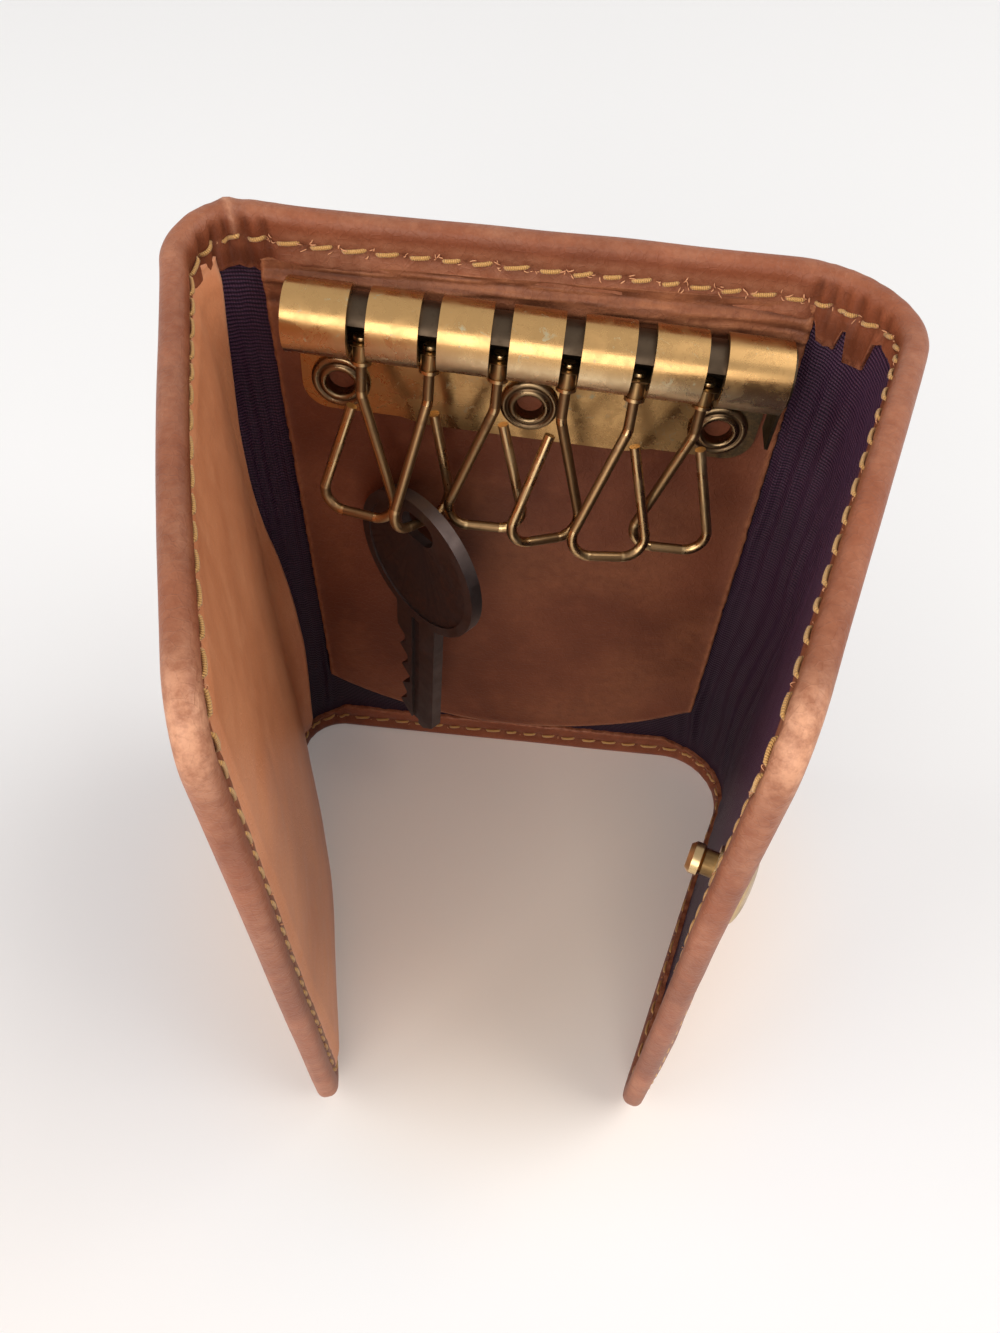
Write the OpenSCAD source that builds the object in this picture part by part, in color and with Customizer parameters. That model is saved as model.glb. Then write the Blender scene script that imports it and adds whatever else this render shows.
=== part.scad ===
/* [Case] */
// Width over the two folds
case_w = 78; // [76:0.5:80]
// Height of the case
case_h = 97; // [94:0.5:100]
// Outer radius of the left fold
left_fold_r = 9; // [8:0.25:10]
// Outer radius of the right fold
right_fold_r = 12; // [11:0.25:13]
// Degrees the left flap leans inward of square
left_lean = 17.4; // [14:0.2:19]
// Degrees the right flap leans inward of square
right_lean = 17.6; // [14:0.2:19]
// How far the shut left flap reaches past the middle of the case
left_flap_past = 15.1; // [13:0.1:17]
// How far the shut right flap reaches past the middle of the case
right_flap_past = 7.7; // [6:0.1:9]
// Straight part of the left spine, from its fold to the second crease
left_spine_len = 14.3; // [13.5:0.1:15]
// Straight part of the right spine, from its fold to the second crease
right_spine_len = 14.5; // [13.7:0.1:15.2]
// Radius of the free corners of the flaps
corner_r = 7; // [6.5:0.1:8]

/* [Leather] */
// Thickness of the cover leather
cover_t = 1.1; // [1:0.05:1.2]
// Thickness of the stiffening board
board_t = 0.5; // [0.4:0.05:0.6]
// Thickness of the satin lining
lining_t = 0.3; // [0.25:0.05:0.35]
// Thickness of the turned hem
hem_t = 0.7; // [0.6:0.05:0.8]
// Width of the turned hem
hem_w = 6; // [5.5:0.1:6.4]
// Rounding of the folded leather edge
edge_r = 0.7; // [0.6:0.05:0.8]
// Running gap at each crease
crease_gap = 0.3; // [0.25:0.05:0.4]
// Degrees of the left fold that stay with the back panel
left_wrap = 13.6; // [12:0.2:15]
// Degrees of the right fold that stay with the back panel
right_wrap = 18.8; // [17:0.2:20]
// Height of the loose folds in the spine lining
satin_fold_h = 0.5; // [0.3:0.05:0.6]
// Number of loose folds across each spine lining
satin_fold_count = 5; // [4:1:6]

/* [Patch and pocket] */
// Thickness of the leather patch behind the hooks
patch_t = 1.2; // [1.1:0.05:1.3]
// Height of the lowest point of the patch
patch_bottom = 6.7; // [6.5:0.1:8]
// Radius of the patch's curved bottom edge
patch_curve_r = 55; // [52:0.5:60]
// Thickness of the pocket leather on the left flap
pocket_t = 0.8; // [0.7:0.05:0.9]
// Distance of the pocket leather inside the edge of the case
pocket_inset = 1.6; // [1.4:0.1:1.9]

/* [Hook bar] */
// Width left beside the bar at each end
bar_side_gap = 11.3; // [11:0.1:11.7]
// Offset of the bar's middle from the middle of the case
bar_offset = 0.1; // [-0.6:0.1:0.6]
// Degrees the riveted bar stands lower at its right end
bar_tilt = 3; // [0:0.2:3.2]
// Depth of the bar's axis below the top edge
bar_drop = 9.8; // [9.6:0.1:10.2]
// Distance from one hook to the next
hook_pitch = 7.8; // [7.7:0.05:7.9]
// Gap between two knuckles
knuckle_gap = 2.1; // [2.05:0.05:2.3]
// Outer radius of the knuckles
knuckle_r = 4.05; // [4:0.05:4.15]
// Thickness of the stamped plate
plate_t = 0.7; // [0.65:0.05:0.75]
// Clearance between the knuckles and the carrier tube
tube_clearance = 0.1; // [0.08:0.01:0.12]
// Wall of the carrier tube
tube_wall = 0.55; // [0.5:0.05:0.6]
// Depth of the plate's middle below the bar's axis
plate_drop = 15.8; // [15.4:0.1:16.4]
// Depth of the plate's end lugs below the bar's axis
lug_drop = 15; // [14.6:0.1:15.3]
// Distance of the outer eyelets inside the ends of the bar
eyelet_inset = 4.8; // [4.6:0.1:5.2]
// Depth of the eyelets below the bar's axis
eyelet_drop = 10.6; // [10.2:0.1:10.8]
// Outer radius of an eyelet's rolled rim
eyelet_rim_r = 3.6; // [3.3:0.1:3.7]
// Radius of the hole through an eyelet
eyelet_hole_r = 1.7; // [1.5:0.05:1.8]

/* [Hooks] */
// Radius of the hook wire
wire_r = 0.65; // [0.6:0.01:0.67]
// Half width of a loop, to the middle of its wire
loop_half_w = 4.6; // [4.4:0.05:4.7]
// Distance from the bar's axis to the middle of the loop's bottom wire
loop_drop = 24.8; // [24.4:0.1:25]
// Radius of the bends in the hook wire
loop_bend_r = 2.6; // [2.3:0.1:2.8]
// Distance from the bar's axis to the bend between stem and loop
stem_drop = 8.4; // [8.2:0.1:8.6]
// Sideways place of the loop's cut end
cut_end_side = 1.15; // [1.1:0.05:1.3]
// Distance from the bar's axis to the loop's cut end
cut_end_drop = 10.2; // [10:0.1:10.4]
// Running clearance round the hook's stem
stem_clearance = 0.07; // [0.05:0.01:0.08]
// Running clearance between a swivel and the carrier tube
swivel_clearance = 0.1; // [0.08:0.01:0.12]

/* [Key] */
// Diameter of the key's bow
bow_d = 22; // [21.5:0.1:22.4]
// Thickness of the key
key_t = 1.8; // [1.7:0.05:1.9]
// Length of the key
key_len = 48; // [46:0.5:49]
// Width of the key's blade
blade_w = 8; // [7.6:0.1:8.4]
// Width of the hole in the bow
key_hole_w = 6; // [5.8:0.1:6.2]
// Height of the hole in the bow
key_hole_h = 4; // [3.8:0.1:4.2]
// Metal left above the hole
key_hole_top = 2.3; // [2.2:0.1:2.4]
// Gap between the hole's upper edge and the wire
key_hang_gap = 0.35; // [0.3:0.05:0.4]

/* [Snap] */
// Distance of the stud from the right flap's free edge
stud_inset = 10.2; // [9.6:0.1:11]
// Height of the snap above the bottom edge
snap_z = 60; // [56:0.5:62]
// Radius of the stud's neck
stud_neck_r = 1.4; // [1.3:0.05:1.45]
// Radius of the stud's rounded head
stud_head_r = 1.7; // [1.6:0.05:1.75]
// Height of the stud above the lining
stud_h = 3.3; // [3.1:0.1:3.4]
// Radius of the socket
socket_r = 4.6; // [4.4:0.1:4.8]
// Height of the socket above the leather
socket_h = 1.3; // [1.2:0.05:1.35]
// Radius of the cap on the right flap's outer face
cap_r = 5.2; // [5:0.1:5.4]
// Height of the cap
cap_h = 1.8; // [1.6:0.1:2]
// Clearance between stud and socket when the case is shut
snap_clearance = 0.3; // [0.25:0.05:0.35]

/* [Hidden] */
$fn = 64;

// One overrun for all cuts
cut = 1;
// Where a straight length meets a bend it runs in a little way, and is drawn thinner by a trace
lap = 0.2;
trace = 0.015;
// Segments in a rounded leather edge
edge_steps = 3;

// Layers of a panel, counted from the face of the hem outward
panel_t = hem_t + lining_t + board_t + cover_t;
lining_from = hem_t;
board_from = hem_t + lining_t;
cover_from = board_from + board_t;
// Gap between a tucked layer and the folded edge
tuck_gap = 0.4;

// Each side is drawn as a left side and mirrored for the right one:
// [fold radius, lean, reach past the middle, straight spine, degrees kept by the back]
left_side = [left_fold_r, left_lean, left_flap_past, left_spine_len, left_wrap];
right_side = [right_fold_r, right_lean, right_flap_past, right_spine_len, right_wrap];

function fold_r(side) = side[0];
function lean(side) = side[1];
function spine_len(side) = side[3];
function wrap(side) = side[4];
function mid_r(side) = fold_r(side) - panel_t / 2;
function fold_centre(side) = [fold_r(side) - case_w / 2, panel_t - fold_r(side)];
// Angle of the first crease round the fold
function crease_turn(side) = wrap(side) + (panel_t / 2 + crease_gap) / mid_r(side) * 180 / PI;
function fold_end_turn(side) = 90 + lean(side);
function on_fold(side, turn, r) = fold_centre(side) + r * [-sin(turn), cos(turn)];
function run(side) = [sin(lean(side)), -cos(lean(side))];
function fold_end(side) = on_fold(side, fold_end_turn(side), mid_r(side));
function crease_1(side) = on_fold(side, crease_turn(side), mid_r(side));
function crease_2(side) = fold_end(side) + spine_len(side) * run(side);

// Shut, the first creases have turned this far, and the flaps lie square to the sides
crease_1_shut = 8;
function turned(v, a) = [v[0] * cos(a) - v[1] * sin(a), v[0] * sin(a) + v[1] * cos(a)];
function shut_crease_2(side) =
    crease_1(side) + turned(crease_2(side) - crease_1(side), crease_1_shut);
function flap_len(side) = side[2] - shut_crease_2(side)[0];

// Overall depth, so that the origin sits under the middle of the case
left_tip_y = crease_2(left_side)[1] - flap_len(left_side) * cos(left_lean) - panel_t / 2 * sin(left_lean);
right_tip_y = crease_2(right_side)[1] - flap_len(right_side) * cos(right_lean)
    - panel_t / 2 * sin(right_lean);
front_y = min(left_tip_y, right_tip_y);
depth_shift = -(front_y + panel_t) / 2;

// Patch, plate and bar, one seated on the other
patch_front = lining_from - patch_t;
bar_y = patch_front - knuckle_r;
bar_z = case_h - bar_drop;
bar_len = case_w - 2 * bar_side_gap;
bar_left = bar_offset - bar_len / 2;
knuckle_bore = knuckle_r - plate_t;
tube_r = knuckle_bore - tube_clearance;
tube_bore = tube_r - tube_wall;
hook_count = 6;
mid_knuckle = hook_pitch - knuckle_gap;
end_knuckle = (bar_len - (hook_count - 1) * hook_pitch - knuckle_gap) / 2;
// Turns round the bar's axis, from straight down through the back and over the top:
// each tab bends forward from the plate, curls up round the front and ends behind the top
knuckle_end_turn = 142;
knuckle_corner_r = 1;
window_from_turn = 244;
window_to_turn = 385;
window_w = knuckle_gap;

// Rest angles of the hooks: forward swing, swivel, and the side of the fixed leg
hook_swing = [12, 12, 10, 13, 18, 9];
hook_swivel = [-11, 50, 4, 28, 12, 2];
hook_side = [1, -1, -1, 1, -1, -1];
// The key hangs loosely, so it is turned a little on its wire
key_pitch = 10;

// Swivel sizes, in the carrier tube
shoe_r = tube_bore - swivel_clearance;
shoe_flat = 1.95;
shoe_len = 3.4;
collar_r = knuckle_gap / 2 - swivel_clearance;
collar_rim_r = 1.2;
collar_rim_from = knuckle_r + 0.2;
collar_rim_t = 0.4;
head_r = 0.95;
head_t = 0.6;
head_seat = shoe_flat - swivel_clearance / 2;

// Pocket opening: how deep its edge lies in the left fold, at shares of the height
pocket_edge_deep = 5.7;
pocket_edge_shares = [
    [0, 0.5], [0.06, 0.53], [0.16, 0.43], [0.28, 0.34], [0.4, 0.36], [0.5, 0.55],
    [0.58, 0.82], [0.66, 1], [0.74, 0.96], [0.84, 0.7], [0.93, 0.44], [1, 0.4]
];
pocket_from_turn = 40;

// Flaps begin, and the pocket leather stops, clear of the second crease
flap_from = panel_t / 2 + crease_gap;
// Stud and socket meet when the case is shut
stud_s = flap_len(right_side) - stud_inset;
socket_s = -shut_crease_2(right_side)[0] - shut_crease_2(left_side)[0] - stud_s;

// A rectangle with rounded corners
function rounded_box(from, to, r, steps) = [
    for (i = [0 : 3]) for (j = [0 : steps])
        let (a = 180 + 90 * i + 90 * j / steps,
             c = [i == 0 || i == 3 ? from[0] + r : to[0] - r, i < 2 ? from[1] + r : to[1] - r])
        c + r * [cos(a), sin(a)]
];

// The folded leather edge, turned hem and open middle of a panel, as thickness by height
module cover_section(sheet_from, shy = 0) {
    slot_z = cover_t - shy;
    difference() {
        polygon(rounded_box([shy, shy], [panel_t - shy, case_h - shy], edge_r, edge_steps));
        translate([lining_from - shy, slot_z])
            square([sheet_from - lining_from + 2 * shy, case_h - 2 * slot_z]);
        translate([-cut, hem_w - shy])
            square([lining_from + cut, case_h - 2 * (hem_w - shy)]);
    }
}

// One tucked layer, as thickness by height
module layer_section(from, to, inset) {
    translate([from, inset])
        square([to - from, case_h - 2 * inset]);
}

// Carries a section along the flat of the back panel
module along_back(from, to) {
    translate([from, 0, 0])
        rotate([90, 0, 90])
            linear_extrude(to - from)
                children();
}

// Carries a section round a left fold
module round_fold(side, from, to) {
    translate(fold_centre(side))
        rotate(90 + from)
            rotate_extrude(angle = to - from)
                translate([fold_r(side) - panel_t, 0])
                    children();
}

// Draws in the plane of a left flap: x along the flap, y from its outer to its inner face
module in_flap(side) {
    translate(crease_2(side))
        rotate(lean(side) - 90)
            children();
}

// Carries a section along the straight part of a left spine or flap
module along_flap(side, from, to) {
    in_flap(side)
        translate([from, panel_t / 2, 0])
            rotate([90, 0, 90])
                linear_extrude(to - from)
                    mirror([1, 0])
                        children();
}

// The round lip of a spine, which turns in the crease
module crease_lip(turn) {
    shy = 2 * trace;
    lip_r = panel_t / 2 - shy;
    rotate(turn)
        translate([0, -lap / 2, 0])
            rotate_extrude(angle = 180)
                difference() {
                    polygon(rounded_box([-lip_r, shy], [lip_r, case_h - shy], edge_r, edge_steps));
                    translate([-panel_t, -cut])
                        square([panel_t, case_h + 2 * cut]);
                }
}

module standing() {
    translate([0, depth_shift, 0])
        children();
}

// Carries what belongs to the riveted bar round to its slightly slanting place
module on_bar() {
    standing()
        translate([bar_offset, 0, bar_z])
            rotate([0, bar_tilt, 0])
                translate([-bar_offset, 0, -bar_z])
                    children();
}

module right_handed() {
    mirror([1, 0, 0])
        children();
}

// Back panel

module whole_back(inset) {
    along_back(fold_centre(left_side)[0], -fold_centre(right_side)[0])
        children();
    round_fold(left_side, 0, left_wrap - inset)
        children();
    right_handed()
        round_fold(right_side, 0, right_wrap - inset)
            children();
}

module back_cover() {
    color("sienna")
        standing()
            whole_back(0)
                cover_section(cover_from);
}

module back_stiffener() {
    color("tan")
        standing()
            along_back(fold_centre(left_side)[0], -fold_centre(right_side)[0])
                layer_section(board_from, cover_from, cover_t + tuck_gap);
}

module back_lining() {
    color("#3a2440")
        standing()
            whole_back(1)
                layer_section(lining_from, board_from, cover_t + tuck_gap);
}

module patch_hole_places() {
    for (i = [-1 : 1])
        translate([bar_offset + i * eyelet_pitch, 0, bar_z - eyelet_drop])
            rotate([90, 0, 0])
                children();
}

// Leather patch: the plate is riveted to it, and its lower edge is cut to a wide curve
module key_patch() {
    color("saddlebrown")
        difference() {
            standing()
                intersection() {
                    whole_back(1)
                        layer_section(patch_front, lining_from, hem_w);
                    translate([bar_offset, panel_t, patch_bottom + patch_curve_r])
                        rotate([90, 0, 0])
                            cylinder(r = patch_curve_r, h = 3 * panel_t, $fn = 180);
                }
            on_bar()
                patch_hole_places()
                    translate([0, 0, -panel_t])
                        cylinder(r = eyelet_barrel_r, h = 3 * panel_t);
        }
}

// Hook bar: stamped plate, curled knuckles, carrier tube and eyelets

eyelet_barrel_r = eyelet_hole_r + 0.4;
eyelet_rim_t = 0.9;
eyelet_pitch = bar_len / 2 - eyelet_inset;
lug_w = 12;
lug_r = 3.4;
plate_left = bar_left;
plate_right = bar_left + bar_len;
plate_top = bar_z - knuckle_r + plate_t;
slope_w = 3;
// The slit in the free end of the first knuckle
slit_w = 0.5;
slit_len = 0.9;
slit_share = 0.6;

function knuckle_left(i) = i == 0 ? bar_left : bar_left + end_knuckle + knuckle_gap + (i - 1) * hook_pitch;
function knuckle_w(i) = i == 0 || i == hook_count ? end_knuckle : mid_knuckle;
function hook_x(i) = bar_left + end_knuckle + knuckle_gap / 2 + i * hook_pitch;

// Turns what is drawn round z to lie round the bar's axis, starting straight down
module round_bar(from_x) {
    translate([from_x, bar_y, bar_z])
        rotate([0, 90, 0])
            children();
}

module knuckle(i) {
    difference() {
        round_bar(knuckle_left(i))
            mirror([0, 1, 0])
                rotate_extrude(angle = 360 - knuckle_end_turn)
                    translate([knuckle_bore, 0])
                        square([plate_t, knuckle_w(i)]);
        knuckle_corner(knuckle_left(i), 1);
        knuckle_corner(knuckle_left(i) + knuckle_w(i), -1);
        if (i == 0)
            round_bar(bar_left + slit_share * end_knuckle)
                rotate(knuckle_end_turn)
                    translate([knuckle_bore - plate_t, -plate_t, 0])
                        cube([3 * plate_t, plate_t + slit_len, slit_w]);
    }
    translate([knuckle_left(i), bar_y, bar_z - knuckle_r])
        cube([knuckle_w(i), knuckle_r, plate_t]);
}

// What is cut away to round a corner of a knuckle's free end
module knuckle_corner(x, way) {
    round_bar(x)
        rotate(knuckle_end_turn)
            rotate([90, 0, 90])
                linear_extrude(2 * knuckle_r)
                    difference() {
                        translate([-cut, way > 0 ? -cut : -knuckle_corner_r])
                            square([knuckle_corner_r + cut, knuckle_corner_r + cut]);
                        translate([knuckle_corner_r, way * knuckle_corner_r])
                            circle(r = knuckle_corner_r + trace);
                    }
}

module plate_outline() {
    lug_bottom = bar_z - lug_drop;
    mid_bottom = bar_z - plate_drop;
    difference() {
        polygon([
            [plate_left, plate_top], [plate_left, lug_bottom], [plate_left + lug_w, lug_bottom],
            [plate_left + lug_w + slope_w, mid_bottom], [plate_right - lug_w - slope_w, mid_bottom],
            [plate_right - lug_w, lug_bottom], [plate_right, lug_bottom], [plate_right, plate_top]
        ]);
        lug_corner(plate_left, lug_bottom, 1);
        lug_corner(plate_right, lug_bottom, -1);
    }
}

// What is cut away to round the outer corner of an end lug
module lug_corner(x, z, way) {
    difference() {
        translate([x - (way < 0 ? lug_r : cut), z - cut])
            square([lug_r + cut, lug_r + cut]);
        translate([x + way * lug_r, z + lug_r])
            circle(r = lug_r);
    }
}

module hook_plate() {
    color("#b08a45")
        on_bar()
            difference() {
                union() {
                    for (i = [0 : hook_count])
                        knuckle(i);
                    translate([0, patch_front, 0])
                        rotate([90, 0, 0])
                            linear_extrude(plate_t)
                                plate_outline();
                }
                patch_hole_places()
                    translate([0, 0, -panel_t])
                        cylinder(r = eyelet_barrel_r, h = 3 * panel_t);
            }
}

module carrier_tube() {
    color("#4d4033")
        on_bar()
            difference() {
                round_bar(bar_left + tube_clearance)
                    cylinder(r = tube_r, h = bar_len - 2 * tube_clearance);
                round_bar(bar_left - cut)
                    cylinder(r = tube_bore, h = bar_len + 2 * cut);
                for (i = [0 : hook_count - 1])
                    round_bar(hook_x(i) - window_w / 2)
                        rotate(window_from_turn)
                            rotate_extrude(angle = window_to_turn - window_from_turn)
                                translate([tube_bore - tube_wall, 0])
                                    square([2 * tube_wall + cut, window_w]);
            }
}

// The tongue that closes the right end of the tube
end_stop_t = 0.4;
end_stop_w = 4;
end_stop_drop = 8.5;
module tube_end_stop() {
    color("#6e5a36")
        on_bar()
            round_bar(bar_left + bar_len)
                linear_extrude(end_stop_t)
                    union() {
                        circle(r = knuckle_bore);
                        translate([0, -end_stop_w / 2])
                            square([end_stop_drop, end_stop_w]);
                    }
}

// A hollow eyelet: barrel through plate and patch, rolled rim in front
module eyelet(i) {
    color("#7c6a3c")
        on_bar()
            translate([bar_offset + i * eyelet_pitch, lining_from, bar_z - eyelet_drop])
                rotate([90, 0, 0])
                    difference() {
                        union() {
                            cylinder(r = eyelet_barrel_r, h = patch_t + plate_t);
                            translate([0, 0, patch_t + plate_t])
                                rotate_extrude()
                                    polygon(rounded_box([0, 0], [eyelet_rim_r, eyelet_rim_t],
                                                        eyelet_rim_t / 2.2, edge_steps));
                        }
                        translate([0, 0, -cut])
                            cylinder(r = eyelet_hole_r, h = patch_t + plate_t + eyelet_rim_t + 2 * cut);
                    }
}

// Spines: the soft folds beside the back panel

module spine_cover(side) {
    spine_from = crease_turn(side);
    round_fold(side, spine_from, fold_end_turn(side))
        cover_section(board_from);
    along_flap(side, -spine_len(side) - lap, 0)
        cover_section(board_from, trace);
    translate(crease_1(side))
        crease_lip(spine_from - 90);
    translate(crease_2(side))
        crease_lip(lean(side) - 180);
}

// Satin in the fold, with loose folds standing on its face
function on_spine(side, s, depth) =
    let (bend = mid_r(side) * (fold_end_turn(side) - crease_turn(side)) * PI / 180,
         r = fold_r(side) - panel_t + depth)
    s < bend
        ? on_fold(side, crease_turn(side) + s / mid_r(side) * 180 / PI, r)
        : on_fold(side, fold_end_turn(side), r) + (s - bend) * run(side);

module spine_lining(side) {
    bend = mid_r(side) * (fold_end_turn(side) - crease_turn(side)) * PI / 180;
    length = bend + spine_len(side) - 2 * tuck_gap;
    steps = 12 * satin_fold_count;
    face = [for (i = [0 : steps])
        on_spine(side, tuck_gap + length * i / steps,
                 lining_from - satin_fold_h * (1 - cos(360 * satin_fold_count * i / steps)) / 2)];
    rear = [for (i = [steps : -1 : 0]) on_spine(side, tuck_gap + length * i / steps, board_from)];
    translate([0, 0, hem_w])
        linear_extrude(case_h - 2 * hem_w)
            polygon(concat(face, rear));
}

module left_spine_cover() {
    color("sienna")
        standing()
            spine_cover(left_side);
}

module left_spine_lining() {
    color("#3a2440")
        standing()
            spine_lining(left_side);
}

module right_spine_cover() {
    color("sienna")
        standing()
            right_handed()
                spine_cover(right_side);
}

module right_spine_lining() {
    color("#3a2440")
        standing()
            right_handed()
                spine_lining(right_side);
}

// Pocket leather on the left spine, cut to the curve of the pocket's opening
module left_spine_pocket() {
    opening = [for (p = pocket_edge_shares) [-pocket_edge_deep * p[1], case_h * p[0]]];
    color("peru")
        standing()
            difference() {
                union() {
                    round_fold(left_side, pocket_from_turn, fold_end_turn(left_side))
                        layer_section(-pocket_t, 0, pocket_inset);
                    along_flap(left_side, -left_spine_len - lap, -flap_from)
                        layer_section(trace - pocket_t, -trace, pocket_inset + trace);
                }
                translate([-case_w, 0, 0])
                    rotate([90, 0, 90])
                        linear_extrude(case_w)
                            polygon(concat(opening, [[panel_t, case_h], [panel_t, 0]]));
            }
}

// Flaps

// The folded edge of a flap, as distance from the edge by thickness
module edge_section() {
    difference() {
        polygon(rounded_box([0, 0], [2 * corner_r, panel_t], edge_r, edge_steps));
        translate([corner_r, -cut])
            square([2 * corner_r, panel_t + 2 * cut]);
        translate([cover_t, lining_from])
            square([2 * corner_r, cover_from - lining_from]);
        translate([hem_w, -cut])
            square([2 * corner_r, lining_from + cut]);
    }
}

// A cut from the plane of the flap's outline: x along the flap, y up
module flap_layer(side, from, to, inset) {
    len = flap_len(side) - inset;
    r = corner_r - inset;
    in_flap(side)
        translate([0, panel_t / 2 - from, 0])
            rotate([90, 0, 0])
                linear_extrude(to - from)
                    difference() {
                        polygon(rounded_box([flap_from - 2 * corner_r, inset], [len, case_h - inset],
                                            r, 2 * edge_steps));
                        translate([flap_from - 3 * corner_r, -cut])
                            square([3 * corner_r, case_h + 2 * cut]);
                    }
}

module flap_cover(side) {
    corner_s = flap_len(side) - corner_r;
    along_flap(side, flap_from, corner_s)
        cover_section(cover_from);
    in_flap(side) {
        // The free edge between its two corners
        translate([flap_len(side), panel_t / 2, corner_r])
            rotate([0, 0, 180])
                linear_extrude(case_h - 2 * corner_r)
                    edge_section();
        // The two corners
        for (top = [0, 1])
            translate([corner_s, panel_t / 2, top ? case_h - corner_r : corner_r])
                rotate([90, top ? 0 : 90, 0])
                    rotate_extrude(angle = 90)
                        translate([corner_r, 0])
                            mirror([1, 0])
                                edge_section();
    }
}

module flap_board(side) {
    flap_layer(side, board_from, cover_from, cover_t + tuck_gap);
}

module flap_lining(side) {
    flap_layer(side, lining_from, board_from, cover_t + tuck_gap);
}

// A round piece standing square on a flap: z points out of its inner face
module on_flap(side, s, from) {
    in_flap(side)
        translate([s, panel_t / 2 - from, snap_z])
            rotate([-90, 0, 0])
                children();
}

module left_flap_cover() {
    color("sienna")
        standing()
            difference() {
                flap_cover(left_side);
                on_flap(left_side, socket_s, panel_t + cut)
                    cylinder(r = socket_neck_r, h = panel_t);
            }
}

module left_flap_stiffener() {
    color("tan")
        standing()
            difference() {
                flap_board(left_side);
                on_flap(left_side, socket_s, panel_t)
                    cylinder(r = socket_neck_r, h = panel_t);
            }
}

module left_flap_lining() {
    color("#3a2440")
        standing()
            flap_lining(left_side);
}

module pocket_panel() {
    color("peru")
        standing()
            flap_layer(left_side, -pocket_t, 0, pocket_inset);
}

module right_flap_cover() {
    color("sienna")
        standing()
            right_handed()
                difference() {
                    flap_cover(right_side);
                    on_flap(right_side, stud_s, panel_t + cut)
                        cylinder(r = stud_neck_r, h = panel_t);
                }
}

module right_flap_stiffener() {
    color("tan")
        standing()
            right_handed()
                difference() {
                    flap_board(right_side);
                    on_flap(right_side, stud_s, panel_t)
                        cylinder(r = stud_neck_r, h = 2 * panel_t);
                }
}

module right_flap_lining() {
    color("#3a2440")
        standing()
            right_handed()
                difference() {
                    flap_lining(right_side);
                    on_flap(right_side, stud_s, panel_t)
                        cylinder(r = stud_neck_r, h = 2 * panel_t);
                }
}

// Snap fastener

socket_bore = stud_head_r + snap_clearance;
socket_neck_r = socket_bore + 0.6;
socket_neck_len = panel_t - board_from;
socket_lip = 0.5;
spring_r = 0.15;
post_lid_t = 0.25;
stud_collar_r = 2.2;
stud_collar_t = 0.4;

// The stud: its shank passes the flap, and its head stands clear of the lining
module snap_stud() {
    shank = panel_t - lining_from;
    head_len = stud_h / 2;
    color("#b08a45")
        standing()
            right_handed()
                on_flap(right_side, stud_s, panel_t)
                    rotate_extrude()
                        polygon([
                            [0, 0], [stud_neck_r, 0], [stud_neck_r, shank], [stud_collar_r, shank],
                            [stud_collar_r, shank + stud_collar_t], [stud_neck_r, shank + stud_collar_t],
                            [stud_neck_r, shank + stud_h - head_len],
                            [stud_head_r, shank + stud_h - head_len * 0.8],
                            [stud_head_r, shank + stud_h - head_len * 0.3],
                            [stud_head_r * 0.75, shank + stud_h], [0, shank + stud_h]
                        ]);
}

// The domed cap that the stud is riveted into
cap_rim_share = 0.3;
function dome(r, rim, h, steps) = concat(
    [[0, 0], [r, 0]],
    [for (i = [0 : steps]) [r * cos(90 * i / steps), rim + (h - rim) * sin(90 * i / steps)]]
);
module snap_cap() {
    color("#b08a45")
        standing()
            right_handed()
                on_flap(right_side, stud_s, panel_t)
                    mirror([0, 0, 1])
                        rotate_extrude()
                            polygon(dome(cap_r, cap_rim_share * cap_h, cap_h, 8));
}

module snap_socket() {
    color("#b08a45")
        standing()
            on_flap(left_side, socket_s, panel_t)
                mirror([0, 0, 1])
                    rotate_extrude()
                        polygon([
                            [socket_bore, 0], [socket_r, 0], [socket_r, socket_h / 3],
                            [socket_r - socket_h / 2, socket_h], [socket_bore, socket_h],
                            [socket_bore, socket_h - socket_lip], [socket_bore + 2 * spring_r, socket_h - socket_lip],
                            [socket_bore + 2 * spring_r, socket_lip / 2], [socket_bore, socket_lip / 2]
                        ]);
}

// The tube that holds the socket from inside the flap
module socket_post() {
    color("#7c6a3c")
        standing()
            on_flap(left_side, socket_s, panel_t)
                difference() {
                    cylinder(r = socket_neck_r, h = socket_neck_len);
                    translate([0, 0, -cut])
                        cylinder(r = socket_bore, h = socket_neck_len + cut - post_lid_t);
                }
}

// The ring spring that grips the stud's head
module snap_spring() {
    color("silver")
        standing()
            on_flap(left_side, socket_s, panel_t)
                mirror([0, 0, 1])
                    translate([0, 0, socket_h / 2])
                        rotate_extrude()
                            translate([socket_bore + spring_r, 0])
                                circle(r = spring_r, $fn = 16);
}

// Swivels and hooks

// Draws at rest on hook i: z up its stem, x across its loop, origin on the bar's axis
module on_stem(i) {
    on_bar()
        translate([hook_x(i), bar_y, bar_z])
            rotate([-hook_swing[i], 0, 0])
                rotate([0, 0, hook_swivel[i]])
                    children();
}

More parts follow.
